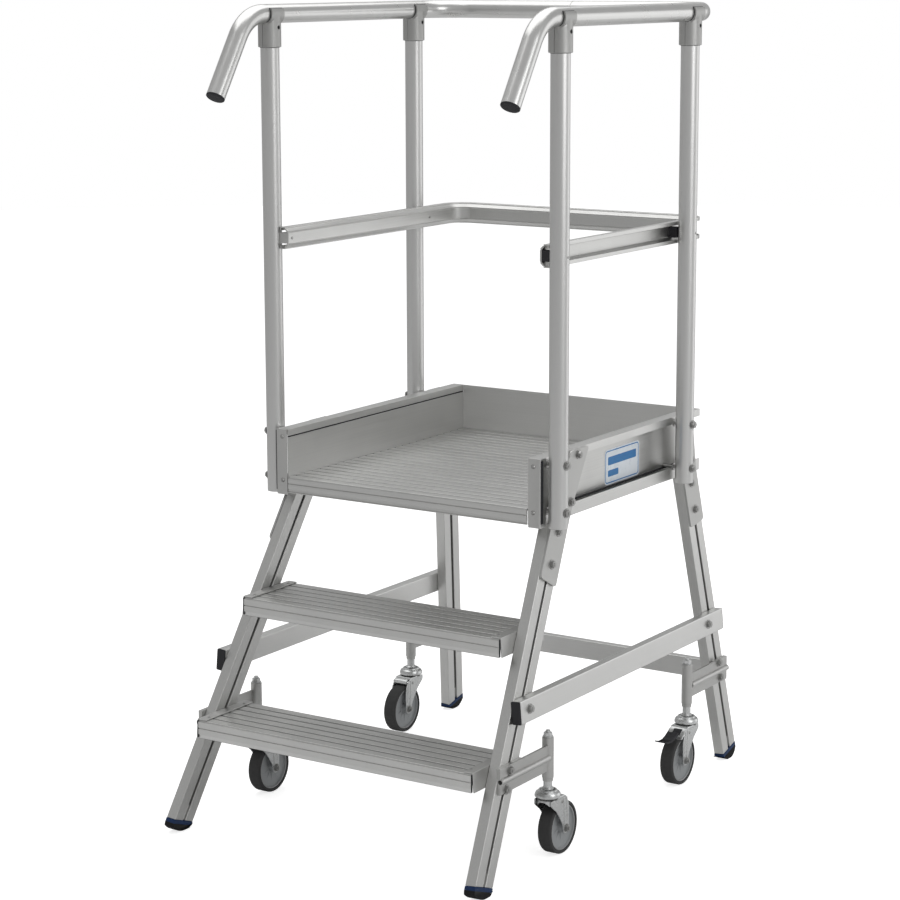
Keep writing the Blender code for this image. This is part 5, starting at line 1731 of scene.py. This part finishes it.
@dataclass(frozen=True)
class Casters:
    """Sprung swivel casters: arm, stem, fork, wheel, and the brake pedal on one of them."""

    axis_x: float = 0.37190635
    arm_z: float = 0.2165
    arm_height: float = 0.054
    arm_thickness: float = 0.005
    rib_radius: float = 0.0065
    sleeve_radius: float = 0.012
    stem_radius: float = 0.009
    wheel_radius: float = 0.056
    wheel_width: float = 0.032
    axle_z: float = 0.0565
    trail: float = 0.040
    head_top: float = 0.148
    plate_in: float = 0.0185
    plate_out: float = 0.0210
    eye_radius: float = 0.0115
    rivet: Flat = (0.0240, 0.1170)
    arch_z: float = 0.1075
    arch_radius: float = 0.0165
    flutes: tuple[tuple[float, float, float], ...] = ((0.0330, 0.0375, 0.0640), (0.0435, 0.0470, 0.0720))
    hub_rim: float = 0.0480
    hinge_offset: float = 0.0655
    hinge_z: float = 0.121

    @property
    def places(self) -> tuple[CasterPlace, CasterPlace]:
        """The front and the rear pair."""
        front_y = FRONT_LINE.inner_edge(self.arm_z) + 0.122
        rear_y = REAR_LINE.inner_edge(self.arm_z) - 0.1214
        return (CasterPlace(FRONT_LINE, front_y, 1.0, 0.166, 0.259, ((-0.222, 0.232), (-0.236, 0.196))),
                CasterPlace(REAR_LINE, rear_y, -1.0, 0.169, 0.267, ((0.689, 0.238), (0.698, 0.2005))))

    def arm(self, place: CasterPlace, side: Side, rows: FastenerRows) -> list[Piece]:
        """Plate with a round rib, a wedge to the leg, a sleeve and two bolts."""
        low, high = self.arm_z - self.arm_height / 2.0, self.arm_z + self.arm_height / 2.0
        face = PLAN.leg_outer(low) + GAP
        outer = face + self.arm_thickness
        inward = place.trail
        far = place.line.outer_edge(self.arm_z)
        near = place.axis_y - inward * 0.008
        leg_end = place.line.inner_edge(high if inward > 0 else low)

        def bar(outline: list[Flat], start: float, end: float) -> Mesh:
            """Straight bar along Y."""
            return Stock.along("bar", [outline], "Y", start, end, side.value)

        wedge = [(PLAN.leg_outer(low) + GAP, low), (PLAN.leg_outer(high) + GAP, high), (outer, high),
                 (outer, low)]
        plate = [(face, low), (face, high), (outer, high), (outer, low)]
        rib = Stock.arc((outer - GAP, self.arm_z), self.rib_radius, -90.0, 90.0, 16)
        bore = Stock.arc((outer - 0.0005, self.arm_z), self.rib_radius - 0.0018, 0.0, 342.0, 19)
        top, bottom = place.sleeve_top, place.sleeve_bottom
        radius = self.sleeve_radius
        profile = [(radius - 0.0012, bottom), (radius - 0.0012, bottom + 0.006), (radius, bottom + 0.007),
                   (radius, top - 0.0008), (radius - 0.0008, top), (0.0053, top), (0.0053, top - 0.005),
                   (0.0093, top - 0.005), (0.0093, bottom)]
        sleeve = Stock.turned("sleeve", profile, 48, True,
                              centre=(side.value * self.axis_x, place.axis_y, 0.0))
        hollow = bar(bore, far - inward * 0.004, far + inward * 0.018)
        steps = [("UNION", bar(wedge, far, leg_end)), ("UNION", bar(rib, far + inward * GAP, near)),
                 ("UNION", sleeve), ("DIFFERENCE", hollow)]
        mesh = Stock.ease(Stock.carve(bar(plate, far, near), steps), 0.0007, 2, 36.0)
        seats = [((side.value * outer, y, z), (side.value, 0.0, 0.0)) for y, z in place.bolts]
        return [Piece(mesh, PLATE_METAL), rows.lay(Fastener.HEX_BOLT, seats, BOLT_METAL, 11)]

    def stem(self, place: CasterPlace, rows: FastenerRows) -> list[Piece]:
        """Shank, stud and top nut about the swivel axis."""
        nut = place.sleeve_top + GAP
        shoulder = place.sleeve_top - 0.030
        foot = self.head_top + GAP
        profile = [(0.006, 0.126), (0.006, foot), (self.stem_radius, foot), (self.stem_radius, foot + 0.003),
                   (self.stem_radius, shoulder), (0.005, shoulder), (0.005, nut + 0.002)]
        shank = Stock.shade(Stock.turned("shank", profile, 40))
        collar = Stock.turned("collar", [(0.0125, foot), (0.0125, foot + 0.0022), (0.0102, foot + 0.0040)],
                              32)
        top = rows.lay(Fastener.STUD_NUT, [((0.0, 0.0, nut), (0.0, 0.0, 1.0))], ZINC, 2)
        return [Piece(shank, ZINC), Piece(Stock.shade(collar), ZINC), top]

    def head(self) -> list[Piece]:
        """Domed cup over the ball race, and the neck under it, dark with painted shade."""
        cup = [(0.0063, 0.134), (0.0063, 0.1440), (0.0152, 0.1440), (0.0160, 0.1476), (0.0172, 0.1482),
               (0.0190, 0.1476), (0.0198, 0.1450), (0.0216, 0.1442), (0.0246, 0.1424), (0.0264, 0.1392),
               (0.0270, 0.1362), (0.0270, 0.1336), (0.0262, 0.1328), (0.0236, 0.1328)]
        neck = [(0.0063, 0.1272), (0.0063, 0.1338), (0.0226, 0.1338), (0.0226, 0.1290), (0.0212, 0.1272)]
        return [Piece(Stock.shade(Stock.turned("cup", cup, 56, True), 28.0), ZINC),
                Piece(Stock.shade(Stock.turned("neck", neck, 56, True), 28.0), PAINTED_SHADE_METAL)]

    def shell(self) -> list[Piece]:
        """Crown with a round front, the arched skirt under it, and a black block that paints the shade inside
        it.
        """
        inside, outside, wall = self.plate_in, self.plate_out, 0.0013
        crown_low, crown_high, skirt_low, skirt_high = 0.1242, 0.1308, 0.1165, 0.1290
        front = Stock.arc((0.0, 0.0), outside + 0.0010, 180.0, 360.0, 28)
        rear_y, skirt_y, core_y, below = 0.0335, 0.004, 0.020, 0.080
        crown_outline = front + [(outside, rear_y), (-outside, rear_y)]
        crown = Stock.along("crown", [crown_outline], "Z", crown_low, crown_high)
        skirt = Stock.along("skirt", [front + [(outside, skirt_y), (-outside, skirt_y)]], "Z", skirt_low,
                            skirt_high)
        core = Stock.arc((0.0, 0.0), outside - wall, 180.0, 360.0, 28)
        hollow = Stock.along("hollow", [core + [(inside, core_y), (-inside, core_y)]], "Z", below, 0.1246)
        span = self.arch_radius
        arch = Stock.arc((0.0, self.arch_z), span, 0.0, 180.0, 24)
        opening = Stock.along("opening", [arch + [(-span, below), (span, below)]], "Y", -0.030, 0.0)
        shell = Stock.carve(skirt, [("DIFFERENCE", hollow), ("DIFFERENCE", opening)])
        # Black block under the crown: painted shade inside the shell.
        dark = Stock.block("dark", (0.0003 - inside, -0.012, 0.1212), (inside - 0.0003, 0.030, 0.1240))
        return [Piece(Stock.ease(crown, 0.0022, 4), ZINC), Piece(Stock.ease(shell, 0.0005, 2, 40.0), ZINC),
                Piece(dark, BLACK_PLASTIC_AND_PAINTED_SHADE)]

    def plates(self) -> list[Piece]:
        """Both fork plates with their pressed flutes."""
        eye = Stock.arc((self.trail, self.axle_z), self.eye_radius, -175.0, 5.0, 18)
        leading = [(-0.0195, 0.1285), (-0.0200, 0.1185), (-0.0172, 0.1150), (-0.0090, 0.1085),
                   (0.0010, 0.1010), (0.0110, 0.0890), (0.0200, 0.0760), (0.0265, 0.0660)]
        trailing = [(0.0525, 0.0980), (0.0500, 0.1100), (0.0440, 0.1195), (0.0340, 0.1290)]
        pieces = []
        for sign in (-1.0, 1.0):
            low, high = sorted((sign * self.plate_in, sign * self.plate_out))
            plate = Stock.along("plate", [leading + eye + trailing], "X", low, high)
            pieces.append(Piece(Stock.ease(plate, 0.0009, 3), ZINC))
            ridge = sorted((sign * (self.plate_out - 0.0004), sign * (self.plate_out + 0.0010)))
            for start, end, bottom in self.flutes:
                lean = 0.004
                flute = [(start - lean, 0.1240), (end - lean, 0.1240), (end, bottom), (start, bottom)]
                mesh = Stock.along("flute", [flute], "X", ridge[0], ridge[1])
                pieces.append(Piece(Stock.ease(mesh, 0.0007, 3), ZINC))
        return pieces

    def hood(self) -> list[Piece]:
        """Sloping housing over the brake, with its black insert."""
        side_view = [(0.0290, 0.1292), (0.0360, 0.1284), (0.0450, 0.1240), (0.0560, 0.1160), (0.0610, 0.1105),
                     (0.0605, 0.1085), (0.0560, 0.1100), (0.0470, 0.1160), (0.0290, 0.1230)]
        hood = Stock.along("hood", [side_view], "X", 0.0002 - self.plate_out, self.plate_out - 0.0002)
        insert = [(0.0395, 0.1265), (0.0415, 0.1276), (0.0555, 0.1184), (0.0545, 0.1165)]
        square = Stock.along("insert", [insert], "X", -0.0115, 0.0085)
        return [Piece(Stock.ease(hood, 0.0014, 3), ZINC), Piece(Stock.ease(square, 0.0008), BLACK_PLASTIC_AND_PAINTED_SHADE)]

    def tongue(self) -> list[Piece]:
        """Short lip and black guard of a fork without a brake."""
        side_view = [(0.0290, 0.1285), (0.0400, 0.1270), (0.0440, 0.1240), (0.0440, 0.1170), (0.0415, 0.1165),
                     (0.0405, 0.1210), (0.0290, 0.1235)]
        lip = Stock.along("tongue", [side_view], "X", -0.0165, 0.0190)
        guard = Stock.block("guard", (-0.0170, 0.0330, 0.1140), (0.0170, 0.0425, 0.1185))
        return [Piece(Stock.ease(lip, 0.0010, 3), ZINC), Piece(Stock.ease(guard, 0.0012), BLACK_PLASTIC_AND_PAINTED_SHADE)]

    def fork(self, braked: bool, rows: FastenerRows) -> list[Piece]:
        """Fork about its swivel axis with its wheel towards +Y.

        Args:
            braked: Add the housing that carries the pedal.
            rows: Makes the axle nuts and the rivets.

        Returns:
            The fork's shapes.
        """
        pieces = self.head() + self.shell() + self.plates() + (self.hood() if braked else self.tongue())
        for kind, (y, z) in ((Fastener.AXLE_NUT, (self.trail, self.axle_z)), (Fastener.RIVET, self.rivet)):
            seats = [((sign * self.plate_out, y, z), (sign, 0.0, 0.0)) for sign in (-1.0, 1.0)]
            pieces.append(rows.lay(kind, seats, BOLT_METAL, 4))
        return pieces

    def hub(self, ribs: RadialRibs) -> list[Piece]:
        """Wheel centre with a lighter rim, a recessed dish and radial ribs."""
        bore, boss, rim, face = 0.0043, 0.0172, self.hub_rim, 0.0138
        half = [(bore, boss), (0.0098, boss), (0.0106, boss - 0.0008), (0.0112, 0.0072), (0.0125, 0.0062),
                (0.0300, 0.0072), (rim - 0.0062, 0.0084), (rim - 0.0044, 0.0100),
                (rim - 0.0036, face - 0.0004)]
        dish = half + [(radius, -height) for radius, height in reversed(half)]
        body = Stock.shade(Stock.turned("hub", dish, 72, True, "X"), 30.0)
        ring = [(rim - 0.0038, face - 0.0010), (rim - 0.0032, face), (rim - 0.0006, face),
                (rim, face - 0.0006)]
        band = ring + [(radius, -height) for radius, height in reversed(ring)]
        edge = Stock.shade(Stock.turned("rim", band, 72, True, "X"), 30.0)
        return [Piece(body, HUB_PLASTIC), Piece(edge, RIM_PLASTIC),
                ribs.lay(10, 0.0105, 0.0425, 0.0013, 0.0150, HUB_PLASTIC)]

    def tyre(self) -> Mesh:
        """Round-shouldered tyre with thin flanks."""
        inner, half, radius = self.hub_rim + GAP, self.wheel_width / 2.0, self.wheel_radius
        flank = [(inner, half - 0.0030), (inner + 0.0006, half - 0.0012), (inner + 0.0016, half - 0.0002),
                 (0.0512, half)]
        shoulder = [(radius - 0.0040 + 0.0040 * math.sin(a), half - 0.0050 + 0.0048 * math.cos(a))
                    for a in (math.radians(10.0 * i) for i in range(1, 9))]
        side = flank + shoulder + [(radius - 0.0002, 0.0070), (radius, 0.0030)]
        profile = side + [(r, -h) for r, h in reversed(side)]
        return Stock.shade(Stock.turned("tyre", profile, 96, True, "X"), 30.0)

    def pedal(self, bars: BarRows) -> list[Piece]:
        """Brake pedal about its own hinge, with grip bars along its blade."""
        knuckle = Stock.arc((0.0, 0.0), 0.0042, 90.0, 270.0, 12)
        outline = knuckle + [(0.0120, -0.0088), (0.0270, -0.0112), (0.0450, -0.0092), (0.0590, -0.0040),
                             (0.0605, -0.0022), (0.0590, -0.0012), (0.0430, -0.0062), (0.0250, -0.0064),
                             (0.0120, -0.0018)]
        blade = Stock.along("blade", [outline], "X", -0.0130, 0.0130)
        grips = bars.lay(4, 0.0042, (0.022, 0.0016, 0.0020), (0.0, 0.0300, -0.0062), BLACK_PLASTIC_AND_PAINTED_SHADE, 0.0006)
        return [Piece(Stock.ease(blade, 0.0014, 3), BLACK_PLASTIC_AND_PAINTED_SHADE), grips]

    def moved(self, pieces: Iterable[Piece], matrix: Matrix) -> list[Piece]:
        """Copies of shapes carried by a matrix."""
        copies = []
        for piece in pieces:
            mesh = piece.mesh.copy()
            mesh.transform(matrix)
            copies.append(Piece(mesh, piece.finish))
        return copies

    def build(self, shop: Workshop, rows: FastenerRows, bars: BarRows, ribs: RadialRibs) -> None:
        """Make all four casters."""
        forks = {braked: self.fork(braked, rows) for braked in (False, True)}
        hub, tyre, pedal = self.hub(ribs), [Piece(self.tyre(), TYRE_RUBBER)], self.pedal(bars)
        for place in self.places:
            stem = self.stem(place, rows)
            for side in Side:
                spot = f"{place.line.name}_{side.label}"
                braked = spot == "rear_right"
                swivel = Matrix.Translation((side.value * self.axis_x, place.axis_y, 0.0))
                if place.trail < 0:
                    swivel = swivel @ Matrix.Rotation(math.pi, 4, "Z")
                axle = swivel @ Matrix.Translation((0.0, self.trail, self.axle_z))
                shop.publish(f"arm_{spot}", self.arm(place, side, rows),
                             replaces=[f"caster_arm_{spot}"])
                shop.publish(f"stem_{spot}_steel", self.moved(stem, swivel),
                             f"stem_{spot}", [f"caster_stem_{spot}"])
                shop.publish(f"fork_{spot}_steel", self.moved(forks[braked], swivel),
                             f"fork_{spot}", [f"caster_fork_{spot}"])
                shop.publish(f"hub_{spot}", self.moved(hub, axle), f"wheel_{spot}",
                             [f"wheel_hub_{spot}"])
                shop.publish(f"tyre_{spot}", self.moved(tyre, axle), f"wheel_{spot}",
                             [f"wheel_tyre_{spot}"])
                if braked:
                    hinge = swivel @ Matrix.Translation((0.0, self.hinge_offset, self.hinge_z))
                    shop.publish("pedal_blade", self.moved(pedal, hinge), "pedal",
                                 ["brake_pedal"])


# ==================================================================== stage
@dataclass(frozen=True)
class Softbox:
    """Square lamp: where it stands, what it looks at, its edge length and its watts."""

    name: str
    place: tuple[float, float, float]
    aim: tuple[float, float, float]
    size: float
    power: float


SOFTBOXES = (Softbox("key_softbox", (3.6, -0.6, 2.2), (0.0, 0.0, 0.9), 2.2, 26.0),
             Softbox("side_softbox", (2.6, 3.4, 1.2), (0.3, 0.3, 0.8), 2.8, 18.0),
             Softbox("top_softbox", (-0.8, 0.8, 4.4), (0.0, 0.0, 0.6), 4.5, 78.0))


@dataclass(frozen=True)
class Studio:
    """White floor, soft lights and the camera."""

    camera_place: tuple[float, float, float] = (2.89094, -4.52006, 1.80397)
    camera_tilt: float = 79.262
    camera_turn: float = 32.656
    camera_roll: float = 0.121
    lens: float = 101.01
    shift: tuple[float, float] = (-0.0104, -0.0067)
    dim_side: float = 0.42
    bright_side: float = 0.50
    floor_glow: float = 0.75
    floor_radius: float = 14.0

    def light(self, box: Softbox) -> None:
        """Hang one softbox."""
        lamp = bpy.data.lights.new(box.name, "AREA")
        lamp.size = box.size
        lamp.energy = box.power
        thing = bpy.data.objects.new(box.name, lamp)
        bpy.context.scene.collection.objects.link(thing)
        direction = Vector(box.aim) - Vector(box.place)
        thing.location = box.place
        thing.rotation_euler = direction.to_track_quat("-Z", "Y").to_euler()

    def surround(self) -> bpy.types.World:
        """White to the eye, and a soft grey gradient as light and in reflections."""
        world = bpy.data.worlds.new("studio")
        world.use_nodes = True
        tree = world.node_tree
        background = tree.nodes["Background"]
        background.inputs["Color"].default_value = (1.0, 1.0, 1.0, 1.0)
        rays = tree.nodes.new("ShaderNodeLightPath")
        place = tree.nodes.new("ShaderNodeTexCoord")
        split = tree.nodes.new("ShaderNodeSeparateXYZ")
        ramp = tree.nodes.new("ShaderNodeMapRange")
        blend = tree.nodes.new("ShaderNodeMix")
        tree.links.new(place.outputs["Generated"], split.inputs[0])
        tree.links.new(split.outputs["X"], ramp.inputs[0])
        for index, value in ((1, -1.0), (2, 1.0), (3, self.dim_side), (4, self.bright_side)):
            ramp.inputs[index].default_value = value
        tree.links.new(rays.outputs["Is Camera Ray"], blend.inputs["Factor"])
        tree.links.new(ramp.outputs[0], blend.inputs["A"])
        blend.inputs["B"].default_value = 1.0
        tree.links.new(blend.outputs["Result"], background.inputs["Strength"])
        return world

    def floor_paint(self) -> bpy.types.Material:
        """Pale matt floor that the eye sees brighter than the metal does."""
        paint = NodeSheet("studio_floor")
        rays = paint.add("ShaderNodeLightPath")
        glow = paint.add("ShaderNodeMath", {0: rays.outputs["Is Camera Ray"], 1: self.floor_glow},
                         operation="MULTIPLY")
        paint.wire(Base_Color=(0.80, 0.80, 0.80, 1.0), Roughness=0.95, Specular_IOR_Level=0.0,
                   Emission_Color=(1.0, 1.0, 1.0, 1.0), Emission_Strength=glow.outputs[0])
        return paint.material

    def build(self) -> None:
        """Make the stage."""
        scene = bpy.context.scene
        scene.view_settings.view_transform = "Standard"
        scene.world = self.surround()
        outline = Stock.arc((0.0, 0.0), self.floor_radius, 0.0, 357.5, 143)
        ground = bpy.data.meshes.new("floor")
        ground.from_pydata([(x, y, 0.0) for x, y in outline], [], [list(range(len(outline)))])
        ground.materials.append(self.floor_paint())
        floor = bpy.data.objects.new("floor", ground)
        scene.collection.objects.link(floor)
        for box in SOFTBOXES:
            self.light(box)
        lens = bpy.data.cameras.new("camera")
        lens.lens = self.lens
        lens.sensor_width = 36.0
        lens.shift_x, lens.shift_y = self.shift
        lens.clip_end = 60.0
        camera = bpy.data.objects.new("camera", lens)
        camera.location = self.camera_place
        camera.rotation_euler = [math.radians(a)
                                 for a in (self.camera_tilt, self.camera_roll, self.camera_turn)]
        scene.collection.objects.link(camera)
        scene.camera = camera


def main() -> None:
    """Build every sub-assembly in order."""
    logging.basicConfig(level=logging.INFO, format="%(name)s: %(message)s")
    low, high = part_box("post_front_right")
    shop = Workshop((low.y + high.y) / 2.0)
    rows, bars, ribs = FastenerRows(), BarRows(), RadialRibs()
    Studio().build()
    Legs().build(shop, rows)
    Platform().build(shop, rows, bars)
    Posts().build(shop, rows)
    TopRail().build(shop)
    RailClamps().build(shop)
    KneeRail().build(shop, rows)
    Treads().build(shop, rows, bars)
    Braces().build(shop, rows)
    Casters().build(shop, rows, bars, ribs)
    LOG.info("%d pieces", shop.count)


if __name__ == "__main__":
    main()
